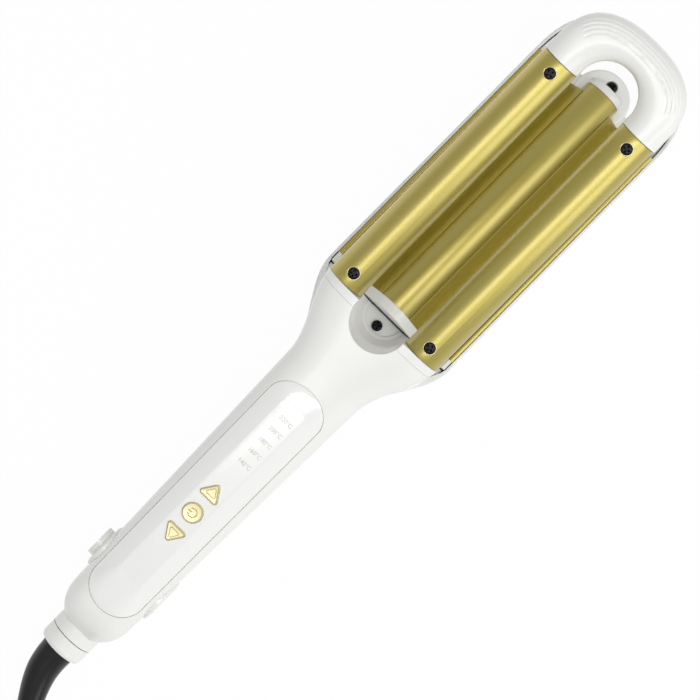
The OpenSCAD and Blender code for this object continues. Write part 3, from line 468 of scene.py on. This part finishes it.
def rod_x(x0, x1, r, y=0.0, z=0.0):
    """A rod along x."""
    return turned(prism(circle(r, y, z), x0, x1), (2, 0, 1))


def block(x0, x1, y0, y1, z0, z1):
    """A plain box between two values on each axis."""
    return prism([(x0, y0), (x1, y0), (x1, y1), (x0, y1)], z0, z1)


def plastic(name, base, shade, roughness, grain=0.0, edge=0.0003):
    """Moulded plastic: a faint cloudiness, a fine grain, and edges that catch the light."""
    made = Finish(name, IOR=1.5, Coat_Roughness=0.12)
    spot = made.place()
    cloud, speck = made.noise(spot, 22, 3), made.noise(spot, 1400, 2)
    wear = made.noise(spot, 160, 4, 0.6)
    return made.put(Base_Color=made.mixed(cloud, base, shade), Coat_Weight=0.18 + cloud * 0.12,
                    Roughness=roughness + (wear - 0.5) * 0.1,
                    Normal=made.bump(speck, 0.05 + grain, 0.0001, edge))


nylon = (0.84, 0.84, 0.815, 1), (0.80, 0.80, 0.775, 1), 0.32
shell_white = plastic("white_nylon", *nylon)
rim_white = plastic("white_nylon_rim", *nylon, edge=None)

tip_xs = [tip_x + 39.89 * math.sin(math.radians(90 - 90 * (1 - k / 30) ** 1.75)) ** (2 / 3.5)
          for k in range(30)]
rear_xs = ([6, 40, 70, 95, 110] + [118 + 2.5 * k for k in range(24)] + [180, 200, 220, 240, 260, 280, 292]
           + tip_xs)


def rear_ring(x):
    """The wall's closed section, thin along the jaw and thick round the neck's end, with a rounded lip."""
    w, e, lip = rear_width(x), squareness(x), rim_height(x)
    part = max(0, x - tip_x) / 40
    wall = 2 - 0.6 * ease(neck_x, 146, x) + 1.7 * ease(140, 152, x) * (1 - ease(160, 168, x))
    inside_w, inside_x = max(0.5 * w, w - wall), x - 2 * part
    depth, z0, k = rear_depth(x), min(-1.1, lip - 0.5), min(1, w / 3)
    inside_depth = max(0.5 * depth, depth - 2)
    outside = [(x, w, lip - 0.45), (x, w - 0.12 * k, lip - 0.13), (x, w - 0.45 * k, lip)]
    inside = [(inside_x, inside_w + 0.3 * k, lip), (inside_x, inside_w, lip - 0.3)]
    far_side = [(px, -y, z) for px, y, z in reversed(outside + inside)]
    return (outside + inside + arc_of(inside_x, inside_w, z0, -max(inside_depth, 1.2), e)
            + far_side + arc_of(x, w, z0, -max(depth, 1.3), e)[::-1])


def rear_solid(inset, above):
    """The shell's outer form, made smaller all round."""
    return skin([arc_of(x - inset * max(0, x - tip_x) / 40, max(0.3, rear_width(x) - inset), -0.6 + above,
                        -max(0.8, rear_depth(x) - inset), squareness(x)) for x in rear_xs])


tongue_x, tongue_r, loop_r = 309.7, 14.0, 21.3


def lathed(steps, x=0.0, y=0.0, sides=96):
    """A round upright form from (radius, height) steps, closed at both ends."""
    return skin([[(px, py, z) for px, py in circle(max(r, 1e-3), x, y, sides)] for r, z in steps])


crescent = carve(lathed([(loop_r + 3.4, -28), (loop_r, -3), (loop_r, 20)], tongue_x),
                 cut=[prism(circle(tongue_r, tongue_x), -30, 22), block(250, 312.7, -40, 40, -32, 24)])
well = carve(lathed([(loop_r + 4.8, -26), (loop_r + 1.6, -3.1)], tongue_x),
             cut=[prism(circle(tongue_r - 2, tongue_x), -30, 0), block(250, 310.7, -40, 40, -32, 4)],
             keep=[rear_solid(0.3, -3.0)])
solid("rear_arm_shell", carve(skin([rear_ring(x) for x in rear_xs]), join=[well],
                              cut=[crescent, rod_y(-40, 40, 20)]),
      on_rear, "rear_arm", rim_white, 40, ["rear_shell"])

# ---------------------------------------------------------------------------------------------
# Hinge frame and spring. Two steel cheeks with a bridge between them, screwed into the rear
# shell, and a wound steel spring that holds the arms open. Both are zinc plated.


def coat(finish, *nodes):
    """A finish on the plain meshes of some nodes."""
    for name in nodes:
        for place in frame["nodes"][name].material_slots:
            place.material = finish.material


def metal(name, base, shade, roughness, streak=(1, 1, 1), relief=0.06):
    """Bare or plated metal, with fine streaks along one axis and slightly clouded reflections."""
    made = Finish(name, Metallic=1.0)
    spot = made.node("Mapping", None, {"Vector": made.place(), "Scale": streak})["Vector"]
    line, cloud = made.noise(spot, 700, 3), made.noise(made.place(), 45, 3)
    return made.put(Base_Color=made.mixed(cloud, base, shade), Roughness=roughness + (cloud - 0.5) * 0.12,
                    Normal=made.bump(line, relief, 0.00008, edge=0.0002))


zinc = metal("zinc_plate", (0.62, 0.63, 0.64, 1), (0.50, 0.51, 0.53, 1), 0.34)
coat(zinc, "hinge_frame", "torsion_spring", "swivel_bearing", "tact_switches")

# ---------------------------------------------------------------------------------------------
# Heater packs. In each barrel a printed ceramic bar lies between two aluminium half rounds,
# which press it against the tube and carry its heat.

aluminium = metal("drawn_aluminium", (0.72, 0.73, 0.74, 1), (0.6, 0.61, 0.63, 1), 0.4, (0.05, 1, 1), 0.15)
coat(aluminium, "left_spreader", "right_spreader", "middle_spreader")
alumina = plastic("alumina", (0.82, 0.80, 0.74, 1), (0.74, 0.71, 0.64, 1), 0.6, 0.1)
coat(alumina, "left_heater", "right_heater", "middle_heater")
lead_skin = plastic("lead_insulation", (0.03, 0.03, 0.032, 1), (0.045, 0.044, 0.043, 1), 0.45, 0.1)
coat(lead_skin, "front_leads", "rear_leads")

# ---------------------------------------------------------------------------------------------
# Wave plate and barrels. Aluminium with a champagne coloured ceramic coating, which is sprayed,
# cured and lightly brushed along its length. The plate is one bent sheet with two troughs.


barrel_r, barrel_y, barrel_z, middle_z = 9.5, 24, 8.5, 2.5
barrel_start, middle_start, plate_end, middle_end = 167, 172.2, 306, 311
screw_xs = [173.6, 299.4]


def champagne(name, base, shade, roughness):
    """Coloured ceramic on metal: a fine sprayed grain under a clear gloss."""
    made = Finish(name, Metallic=1.0, Coat_Roughness=0.36, Coat_IOR=1.95)
    spot = made.node("Mapping", None, {"Vector": made.place(), "Scale": (0.5, 1, 1)})["Vector"]
    sand, cloud = made.noise(spot, 5200, 2), made.noise(made.place(), 30, 3)
    return made.put(Base_Color=made.mixed(cloud, base, shade), Roughness=roughness + (sand - 0.5) * 0.1,
                    Coat_Weight=0.8 + cloud * 0.15, Normal=made.bump(sand, 0.12, 0.00003))


# A paler gold than the coating, for the rings round the screw holes: a painted highlight on their rims.
highlight_gold = metal("painted_highlight_rim", (0.85, 0.77, 0.5, 1), (0.78, 0.7, 0.42, 1), 0.35)
gold_coat = champagne("champagne_coating", (0.47, 0.385, 0.045, 1), (0.435, 0.355, 0.035, 1), 0.44)


def barrel(name, x0, x1, y, z, holes, place, body, node):
    """A tube with softened ends, and a round hole for each screw's head, ringed in a paler gold that is a
    painted highlight.
    """
    outline = [(x0 + 0.3, barrel_r), (x0 + 0.08, 9.42), (x0, 9.2), (x0, 8.3),
               (x1, 8.3), (x1, 9.2), (x1 - 0.08, 9.42), (x1 - 0.3, barrel_r)]
    sides = 128
    rings = [[(x, y + r * math.cos(a), z + r * math.sin(a)) for x, r in outline]
             for a in (2 * math.pi * k / sides for k in range(sides))]
    n = len(outline)
    faces = [(j * n + i, j * n + (i + 1) % n, (j + 1) % sides * n + (i + 1) % n, (j + 1) % sides * n + i)
             for j in range(sides) for i in range(n)]
    shape = ([p for ring in rings for p in ring], faces)
    if holes:
        shape = carve(shape, cut=[prism(circle(2.9, x, y, 48), z + 4, z + 12) for x in holes])
    solid(name, shape, place, body, gold_coat, 35, [node])
    # Each ring round a hole is paler gold, a painted highlight.
    for k, hole_x in enumerate(holes, 1):
        ring = [Vector((px, py, z + math.sqrt(barrel_r ** 2 - (py - y) ** 2) - 0.06))
                for px, py in circle(2.95, hole_x, y, 48)]
        solid(name + "_eyelet_" + str(k), tube(ring + ring[:1], 0.22, 10), place, body, highlight_gold, 60, ())


plate_top = [(9.56 * math.sin(math.radians(a)), middle_z - 9.56 * math.cos(math.radians(a)))
             for a in range(0, 117, 4)]
plate_top += [(8.75, 6.85), (9.3, 6.3), (10.3, 5.15), (11.2, 3.8), (12.3, 1.9), (13.6, -0.3), (15.1, -2.1),
              (17, -3.6), (19, -4.5), (21.5, -4.95), (24, -5.05), (26.5, -4.7), (29, -3.5), (31.2, -1.5),
              (33, 1.1), (34.2, 4), (34.7, 6.1), (34.85, 6.4), (35.1, 6.5), (36.6, 6.5), (36.85, 6.3)]
plate_under = [(36.4, 3.5), (34.6, -0.5), (31.5, -4.2), (28, -6.4), (24, -7), (0, -9.3)]


def both_halves(half):
    """A closed section from its +Y half, whose first and last points lie on the middle line."""
    return half + [(-y, z) for y, z in reversed(half[1:-1])]


plate_line = both_halves(plate_top + plate_under)
solid("wave_sheet", skin([[(x, y, z) for y, z in plate_line] for x in (172.05, plate_end)]),
      on_rear, "rear_arm", gold_coat, 40, ["wave_plate"])
barrel("middle_tube", middle_start, middle_end, 0, middle_z, [], on_rear, "rear_arm", "middle_barrel")
for side, y in (("left", barrel_y), ("right", -barrel_y)):
    barrel(side + "_tube", barrel_start, plate_end, y, barrel_z, screw_xs, on_front, "front_arm",
           side + "_barrel")

# ---------------------------------------------------------------------------------------------
# Rear arm's covers and ends. White nylon plates that drop into the rim: a long flat one, a neck
# plate with a dish for its screw, an insulating collar, and the tongue with the middle tube's cap.

coat(shell_white, "rear_handle_cover")
hump = [(10 * math.sin(math.radians(a)), middle_z + 10 * math.cos(math.radians(a))) for a in range(0, 49, 6)]
hump += [(16, -0.46), (17.5, -1.7), (19.5, -2.8), (21.5, -3.4), (24, -3.6), (26.5, -3.3), (29, -2.2),
         (31.2, -0.4), (33, 2), (34, 4.4), (34.5, 6.2), (34.8, 6.7), (36.5, 6.7)]
solid("collar", skin([[(x, y, z) for y, z in both_halves(hump + plate_under)] for x in (167.25, 172.25)]),
      on_rear, "rear_arm", shell_white, 30, ["rear_collar"])

dish_x, neck_screw_x, tongue_screw_x = 166.8, 161, 317.5
screw_seat, screw_bore = 3, 1.3
neck_line = [(x, rear_width(x) - 2.25) for x in [117 + 1.5 * k for k in range(34)] + [168]]
neck_line += [(x, -y) for x, y in reversed(neck_line)]
dish_steps = [(0, -4.8), (9.2, -4.8), (9.2, -4.35), (9.5, -4.2), (10.6, -4.2), (11.1, -4.05), (13.9, -1.25),
              (14.5, -0.85), (15.2, -0.6), (15.2, 2)]
solid("neck_plate", carve(prism(neck_line, -2.4, -0.6),
                          join=[prism(circle(15.6, dish_x), -6, -0.6)],
                          cut=[lathed(dish_steps, dish_x), block(dish_x, 190, -40, 40, -30, 10),
                               prism(circle(screw_bore, neck_screw_x, 0, 24), -20, 2)]),
      on_rear, "rear_arm", shell_white, 30, ["rear_neck_cover"])

deck_line = [(x, rear_width(min(x + 2.4, 339.8)) - 1.9)
             for x in [plate_end + 1.2 * k for k in range(27)] + [337.4]]
deck_line += [(x, -y) for x, y in reversed(deck_line)]
deck_gap = carve(prism(circle(loop_r + 0.2, tongue_x), -22, 22),
                 cut=[prism(circle(tongue_r, tongue_x), -30, 32), block(250, 312.2, -40, 40, -32, 34)])
tongue = lathed([(0, -3), (14, -3), (14, 0.6), (13.85, 1.1), (13.4, 1.45), (12.8, 1.6), (0, 1.6)], tongue_x)
cap_steps = [(311.12, 9.5), (312.4, 9.55), (313.5, 9.4), (314.3, 9.05), (314.9, 8.4), (315.2, 7.5),
             (315.25, 6)]
cap = skin([[(x, r * math.sin(a), middle_z + r * math.cos(a))
             for a in (2 * math.pi * k / 96 for k in range(96))] for x, r in cap_steps])
screw_hole = circle(screw_seat, tongue_screw_x, 0, 48)
solid("tongue_end",
      carve(prism(deck_line, -3, -1), join=[tongue], cut=[deck_gap, prism(screw_hole, -0.02, 20)],
            join_cap=[carve(cap, cut=[block(290, 320, -20, 20, -12, -1.6)])],
            cut_tube=[rod_x(290, 311.05, 9.55, 0, middle_z), block(280, plate_end, -60, 60, -30, 30),
                      prism(screw_hole, -0.02, 1.62),
                      prism(circle(screw_bore, tongue_screw_x, 0, 24), -20, 0)]),
      on_rear, "rear_arm", shell_white, 34, ["rear_tip_end"])
# A black strip in the narrow gap between the neck plate and the collar: painted shade, a dark sheet that
# stands for the gap's shadow line.
gap_shade = plastic("painted_gap_shade", (0.01, 0.01, 0.01, 1), (0.015, 0.015, 0.015, 1), 0.7)
solid("collar_gap_shade", block(166.85, 167.18, -30, 30, -8, -0.75), on_rear, "rear_arm", gap_shade, 30, ())

# ---------------------------------------------------------------------------------------------
# Screws. Blackened steel with pan heads and cross recesses: four in the outer tubes, two that
# hold the rear arm's plates, and small ones in the covers and the head.

black_steel = Finish("blackened_steel", Metallic=0.3, IOR=1.5, Specular_IOR_Level=0.3)
spot = black_steel.place()
worn, fleck = black_steel.noise(spot, 900, 3), black_steel.noise(spot, 300, 2)
black_steel.put(Base_Color=black_steel.mixed(worn, (0.004, 0.004, 0.0045, 1), (0.014, 0.014, 0.0145, 1)),
                Roughness=0.3 + fleck * 0.14, Normal=black_steel.bump(worn, 0.1, 0.00005, edge=0.0001))
coat(black_steel, "head_screws", "front_cover_screws", "rear_cover_screws")


def cross_head(x, y, z, r, h, turn):
    """A pan head: rounded edge, and a cross recess that narrows downwards."""
    head = lathed([(0, z - 3), (1.2, z - 3), (1.2, z), (r, z), (r, z + 0.55 * h), (0.94 * r, z + 0.8 * h),
                   (0.8 * r, z + 0.95 * h), (0.6 * r, z + h), (0, z + h)], x, y, 48)
    cuts = []
    for a in (turn, turn + 90):
        c, s = math.cos(math.radians(a)), math.sin(math.radians(a))
        rings = [[(x + c * u - s * v, y + s * u + c * v, height) for u, v in
                  ((-l, -t), (l, -t), (l, t), (-l, t))]
                 for height, l, t in ((z + 0.1 * h, 0.36 * r, 0.3), (z + h + 0.2, 0.76 * r, 0.52))]
        cuts.append(skin(rings))
    return carve(head, cut=cuts)


def joined(shapes):
    """Several closed forms in one."""
    points, faces = [], []
    for more_points, more_faces in shapes:
        faces += [tuple(i + len(points) for i in face) for face in more_faces]
        points += more_points
    return points, faces


tube_seats = [(x, y) for y in (barrel_y, -barrel_y) for x in screw_xs]
solid("tube_screws", joined([cross_head(x, y, 16.95, 2.65, 1.15, turn) for (x, y), turn in
                             zip(tube_seats, (20, 62, 75, 8))]),
      on_front, "front_arm", black_steel, 35, ["barrel_screws"])
solid("rear_plate_screws", joined([cross_head(neck_screw_x, 0, -4.78, 2.6, 1.45, 33),
                                   cross_head(tongue_screw_x, 0, 0.02, 2.6, 1.45, 70)]),
      on_rear, "rear_arm", black_steel, 35, ["rear_screws"])

# ---------------------------------------------------------------------------------------------
# Front arm's shell. One white nylon moulding with a round end, a flared neck and a fork round
# the slot. It has a recess for the panel and bores at its sides for the hinge bushes.


fork_half, slot_r, slot_x, slot_neck_x, seam_x = 34, 14.4, 310, 165.9, 162.6
handle_high, handle_low, shell_wall = 18.5, 18, 2


def front_top(x):
    """The height of the front arm's back over the parting plane."""
    return dome(x) * handle_high + 0.5 * ease(neck_x, collar_x, x)


front_xs = ([-20 - 18 * math.sin(math.radians(t))
             for t in (89.3, 87, 84, 80, 75, 70, 64, 58, 52, 46, 40, 34, 28, 22, 15, 8)]
            + [-20, 0, 25, 50, 75, 100, 112, 120] + [124 + 2 * k for k in range(20)])


def front_solid(inset, x0, x1, lip=-0.6):
    """The front arm's outer form between two stations, made smaller all round."""
    rings = []
    for x in [x0] + [x for x in front_xs if x0 + 0.2 < x < x1 - 0.2] + [x1]:
        w, top = max(0.15, half_width(x, fork_half) - inset), max(0.15, front_top(x) - inset)
        rings.append([(x, w, lip)] + arc_of(x, w, 0, top, squareness(x), 64) + [(x, -w, lip)])
    return skin(rings)


def long_line(x0, x1, end, w0, w1, bend):
    """A long outline whose ends are ovals, rounder or squarer with the exponent."""
    return [(middle + end * power(math.cos(t), bend), w * power(math.sin(t), bend))
            for middle, w, first in ((x1 - end, w1, -90), (x0 + end, w0, 90))
            for t in (math.radians(first + 180 * k / 40) for k in range(41))]


def panel_line(grow):
    """The panel's outline, a little wider towards the neck."""
    w0, w1 = handle_half(-18.5) * 0.83 + grow, half_width(109.5, fork_half) * 0.74 + grow
    return long_line(-18.5 - grow, 121.5 + grow, 12, w0, w1, 1)


def slot_line(r):
    """The slot's outline, which is a little narrower at the neck."""
    return [(x + end_r * math.cos(t), end_r * math.sin(t))
            for x, end_r, first in ((slot_x, r, -90), (slot_neck_x, r - 0.5, 90))
            for t in (math.radians(first + 3 * k) for k in range(61))]


slot_steps = [(-2, 0), (18.2, 0), (18.5, 0.06), (18.75, 0.22), (18.92, 0.5), (19.1, 0.9), (21, 3.6)]
slot_soft = skin([[(x, y, z) for x, y in slot_line(slot_r + more)] for z, more in slot_steps])
swivel_boss = rod_x(-41, -29, 11.15)
bores = [rod_y(-22, 22, 11.45), rod_y(-15, 15, 12.8), rod_x(-42, -20, 9.15)]
solid("handle_shell",
      carve(front_solid(0, front_xs[0], seam_x), cut_in=[front_solid(shell_wall, -36.5, 165, -1.3)],
            join=[swivel_boss],
            cut=[prism(panel_line(0.1), 10, 30)] + bores + [slot_soft, block(-60, 200, -60, 60, -40, 0)]),
      on_front, "front_arm", shell_white, 32, ["front_shell"])

# ---------------------------------------------------------------------------------------------
# Lower half of the round end. It is screwed under the shell, and cut round the hinge so that
# the rear arm's end can turn in it. The facing side of the handle has a flat cover.


def flipped(shape, inset):
    """An upper form turned over and made as low as the handle's lower side."""
    return [(x, y, -z * (handle_low - inset) / (handle_high - inset)) for x, y, z in shape[0]], shape[1]


solid("round_end",
      carve(flipped(front_solid(0, front_xs[0], 19.37), 0),
            cut_in=[flipped(front_solid(shell_wall, -36.5, 20.4, -1.3), shell_wall)], join=[swivel_boss],
            cut=bores + [block(-60, 200, -60, 60, 0, 40),
                         carve(block(0, 60, -40, 40, -40, 1), cut=[rod_y(-50, 50, 19.4)])]),
      on_front, "front_arm", shell_white, 32, ["tail_cover"])
coat(shell_white, "front_inner_cover", "hinge_bushes", "lock_button", "swivel_collar", "tip_head_base")

# ---------------------------------------------------------------------------------------------
# Collar of the fork. A white carrier inside the fork holds the tubes' ends, and its collar
# shows as a narrow ring between the shell and the tubes.

solid("fork_collar", carve(front_solid(0.02, seam_x + 0.05, 166.8),
                           cut=[slot_soft, block(150, 180, -60, 60, -9, 0)]),
      on_front, "front_arm", shell_white, 32, ["barrel_carrier"])

# ---------------------------------------------------------------------------------------------
# Circuit board. Green laminate on the cover's posts, with its switches, lamps and parts, a
# light guide under the panel's marks, and sprung contacts for the cord's slip rings.

laminate = plastic("green_laminate", (0.03, 0.16, 0.07, 1), (0.04, 0.2, 0.09, 1), 0.4, 0.1)
coat(laminate, "circuit_board")
part_black = plastic("black_mouldings", (0.02, 0.02, 0.021, 1), (0.035, 0.034, 0.034, 1), 0.4, 0.1)
coat(part_black, "board_parts")
coat(alumina, "status_leds")
guide = plastic("clear_guide", (0.75, 0.78, 0.78, 1), (0.7, 0.73, 0.74, 1), 0.2)
guide.shader.inputs["Transmission Weight"].default_value = 0.6
coat(guide, "light_guide")
brass = metal("brass", (0.72, 0.56, 0.26, 1), (0.62, 0.47, 0.2, 1), 0.3)
coat(brass, "contact_springs", "slip_rings")

# ---------------------------------------------------------------------------------------------
# Control panel. A glossy white cover glued into the shell's recess: a flat strip along its
# middle, sloping flanks, holes for three buttons, and a hollow below, with a pocket for the
# spring's leg.

panel_white = plastic("panel_white", (0.86, 0.86, 0.845, 1), (0.84, 0.84, 0.82, 1), 0.16)


def front_surface(x, y):
    """The height of the front arm's back at a point."""
    e = squareness(x)
    return front_top(x) * max(0, 1 - (abs(y) / half_width(x, fork_half)) ** e) ** (1 / e)


def strip_line(shrink):
    """The flat strip's outline, with squarer ends."""
    return long_line(2 + shrink, 111 - shrink, 4, 6.9 - shrink, 6.9 - shrink, 0.5)


def arrow_line(grow, point=1):
    """A triangle with round corners that points along x, its middle at the origin."""
    r = 1.3
    l, w = 4.05 - r, 4.95 - r
    corners = ((l, 0, -60), (-l, w, 60), (-l, -w, 180))
    return [(point * (cx + (r + grow) * math.cos(t)), cy + (r + grow) * math.sin(t))
            for cx, cy, a in corners for t in (math.radians(a + 15 * k) for k in range(9))]


def moved(outline, x):
    """The same outline further along x."""
    return [(p[0] + x, p[1]) for p in outline]


power_x, button_pitch, power_r, strip_z = 43.7, 13.4, 4.85, 19.0
panel_edge, strip = panel_line(0), strip_line(0)
rounding, rim_line = panel_line(-0.1), panel_line(-0.22)
heights = [front_surface(x, y) for x, y in panel_edge]
rings = [[(x, y, 9) for x, y in panel_edge], [(x, y, z - 0.28) for (x, y), z in zip(panel_edge, heights)],
         [(x, y, z - 0.15) for (x, y), z in zip(rounding, heights)],
         [(x, y, z - 0.1) for (x, y), z in zip(rim_line, heights)]]
for share in (0.2, 0.4, 0.6, 0.8, 0.94, 1):
    swell = 0.22 * math.sin(math.pi * share)
    rings.append([(p[0] + (q[0] - p[0]) * share, p[1] + (q[1] - p[1]) * share,
                   (z - 0.1) * (1 - share) + (strip_z - 0.03) * share + swell)
                  for p, q, z in zip(rim_line, strip, heights)])
rings.append([(x, y, strip_z) for x, y in strip_line(0.25)])
outer, inner = panel_line(1), panel_line(-1.8)
hollow = skin([[(x, y, 5) for x, y in outer], [(x, y, z - 1.4) for (x, y), z in zip(outer, heights)],
               [(x, y, front_surface(x, y) - 1.9) for x, y in inner],
               [(x, y, 17.2) for x, y in strip_line(0.9)]])
spring_pocket = rod_x(9, 19.6, 1.1, 7.25, 17)
holes = [prism(line, 10, 30) for line in (circle(power_r + 0.15, power_x),
                                          moved(arrow_line(0.15, -1), power_x - button_pitch),
                                          moved(arrow_line(0.15), power_x + button_pitch))]
solid("control_cover", carve(skin(rings), cut=[hollow] + holes + [spring_pocket]),
      on_front, "front_arm", panel_white, 24, ["control_panel"])

# ---------------------------------------------------------------------------------------------
# Buttons and marks. Pale gold buttons with raised rims and thin printed signs, and the five
# temperatures in degrees, printed small across the strip.

button_gold = Finish("button_gold", Metallic=0.35, IOR=1.5, Coat_Roughness=0.1)
spot = button_gold.place()
sheen, sand = button_gold.noise(spot, 60, 2), button_gold.noise(spot, 1800, 2)
button_gold.put(Base_Color=button_gold.mixed(sheen, (0.90, 0.83, 0.52, 1), (0.86, 0.78, 0.47, 1)),
                Coat_Weight=0.3 + sheen * 0.1, Roughness=0.3 + sand * 0.08,
                Normal=button_gold.bump(sand, 0.06, 0.00005, edge=0.00015))
sign_gold = metal("sign_gold", (0.42, 0.34, 0.14, 1), (0.36, 0.29, 0.12, 1), 0.35)


def stepped(line, steps):
    """A button's cap through the panel: outlines grown or shrunk, each at its own height."""
    return skin([[(x, y, z) for x, y in line(grow)] for grow, z in steps])


button_steps = [(0, 16.9), (0, 19.35), (-0.08, 19.52), (-0.25, 19.6), (-0.45, 19.58), (-0.6, 19.45),
                (-0.75, 19.38), (-0.95, 19.36)]


def ribbon(line, width, z0, z1, closed=False):
    """A thin printed or raised line of even width."""
    n, rings = len(line), []
    for i, p in enumerate(line):
        a = line[i - 1] if i or closed else p
        b = line[(i + 1) % n] if i < n - 1 or closed else p
        t = Vector((b[0] - a[0], b[1] - a[1])).normalized()
        s = Vector((-t.y, t.x)) * width / 2
        rings.append([(p[0] + s.x, p[1] + s.y, z0), (p[0] - s.x, p[1] - s.y, z0),
                      (p[0] - s.x, p[1] - s.y, z1), (p[0] + s.x, p[1] + s.y, z1)])
    if closed:
        rings.append(rings[0])
    return skin(rings, ends=not closed)


buttons = (("power", power_x, lambda grow: circle(power_r + grow, power_x, 0, 72)),
           ("up", power_x + button_pitch, lambda grow: moved(arrow_line(grow), power_x + button_pitch)),
           ("down", power_x - button_pitch, lambda grow: moved(arrow_line(grow, -1), power_x - button_pitch)))
for name, x, line in buttons:
    node, cap, sign_z = name + "_button", name + "_cap", (19.3, 19.42)
    solid(cap, stepped(line, button_steps), on_front, node, button_gold, 30, [node])
    solid(cap + "_rim", ribbon(line(-0.3), 0.34, 19.5, 19.63, True), on_front, node, sign_gold, 30, ())
    if name == "power":
        arc = [(x + 2.1 * math.cos(math.radians(a)), 2.1 * math.sin(math.radians(a)))
               for a in range(125, 416, 10)]
        sign = joined([ribbon(arc, 0.5, *sign_z), ribbon([(x, 0.5), (x, 2.7)], 0.5, *sign_z)])
    else:
        sign = ribbon([(x + 0.5 * (px - x), 0.5 * py) for px, py in line(0)], 0.34, *sign_z, True)
    solid(cap + "_sign", sign, on_front, node, sign_gold, 30, ())

print_grey = plastic("print_grey", (0.60, 0.59, 0.50, 1), (0.56, 0.55, 0.47, 1), 0.5)
first_mark_x, mark_pitch = 76.5, 6.8
for k, words in enumerate(("140", "160", "180", "200", "220")):
    mark = bpy.data.curves.new("mark_" + words, "FONT")
    mark.body, mark.size, mark.extrude = words + "°C", 0.0029, 0.00001
    mark.align_x = mark.align_y = "CENTER"
    mark.materials.append(print_grey.material)
    label = bpy.data.objects.new("mark_" + words, mark)
    bpy.context.collection.objects.link(label)
    where = Matrix.Translation(((first_mark_x + mark_pitch * k) / 1000, -0.0012, 0.01901))
    label.matrix_world = front_place @ where @ Matrix.Rotation(-math.pi / 2, 4, "Z")
    dress(label, "front_arm", None, ())

# ---------------------------------------------------------------------------------------------
# Tip head. A white nylon U over the tubes' far ends. Its legs carry on the tubes' round
# sections and flatten into a crown, with soft edges and four fine grooves round its end.


head_start, head_r, head_top = 306.4, 14.45, 18.95
groove_insets, groove_depth = (2.7, 4.5, 6.5, 8.6), 0.34


def head_edge(t):
    """The head's outline, squarer than a circle, at a parameter's angle."""
    return (311.7 + 30 * power(math.cos(t), 2 / 2.8), fork_half * power(math.sin(t), 2 / 2.4))


def head_section(outer, inner, angle):
    """The closed section between the slot's edge and the outline, at an angle about the slot's end."""
    across = Vector((outer[0] - inner[0], outer[1] - inner[1]))
    half = across.length / 2
    way = across.normalized()
    share = ease(head_start, 330, outer[0])
    inner_e, outer_e = 2.3 + 0.35 * share, 2.3 + 0.7 * share
    fade = 1 - ease(60, 66, abs(angle))
    ring = [(*inner, 3.0)]
    steps = 120
    for k in range(steps + 1):
        t = math.pi * k / steps
        e = inner_e if k < steps / 2 else outer_e
        u = half * (1 - power(math.cos(t), 2 / e))
        z = barrel_z + (head_top - barrel_z) * power(math.sin(t), 2 / e)
        inset = 2 * half - u
        dip = sum(max(0, 1 - abs(inset - d) / 0.5) for d in groove_insets) * groove_depth * fade
        slope = min(1, inset / 3)
        u -= dip * (1 - slope)
        ring.append((inner[0] + way.x * u, inner[1] + way.y * u, z - dip * slope))
    ring.append((*outer, 3.0))
    return ring


legs = (head_start, 307.6, 308.8, slot_x)
sections = [((x, fork_half), (x, head_r), 90.0) for x in legs]
for k in range(1, 180):
    outer = head_edge(math.radians(90 - k))
    angle = math.atan2(outer[1], outer[0] - slot_x)
    if abs(math.degrees(angle)) < 89.5:
        inner = (slot_x + head_r * math.cos(angle), head_r * math.sin(angle))
        sections.append((outer, inner, math.degrees(angle)))
sections += [((x, -fork_half), (x, -head_r), -90.0) for x in reversed(legs)]
solid("head_cap", skin([head_section(*section) for section in sections]),
      on_front, "front_arm", shell_white, 50, ["tip_head"])

# ---------------------------------------------------------------------------------------------
# Plug and strap. A black moulded plug with two nickel plated pins, and a thin strap that holds
# the coil's turns.

coat(part_black, "plug_body")
coat(rubber, "cord_tie")
nickel = metal("nickel_plate", (0.7, 0.69, 0.66, 1), (0.6, 0.59, 0.57, 1), 0.22)
coat(nickel, "plug_pins")
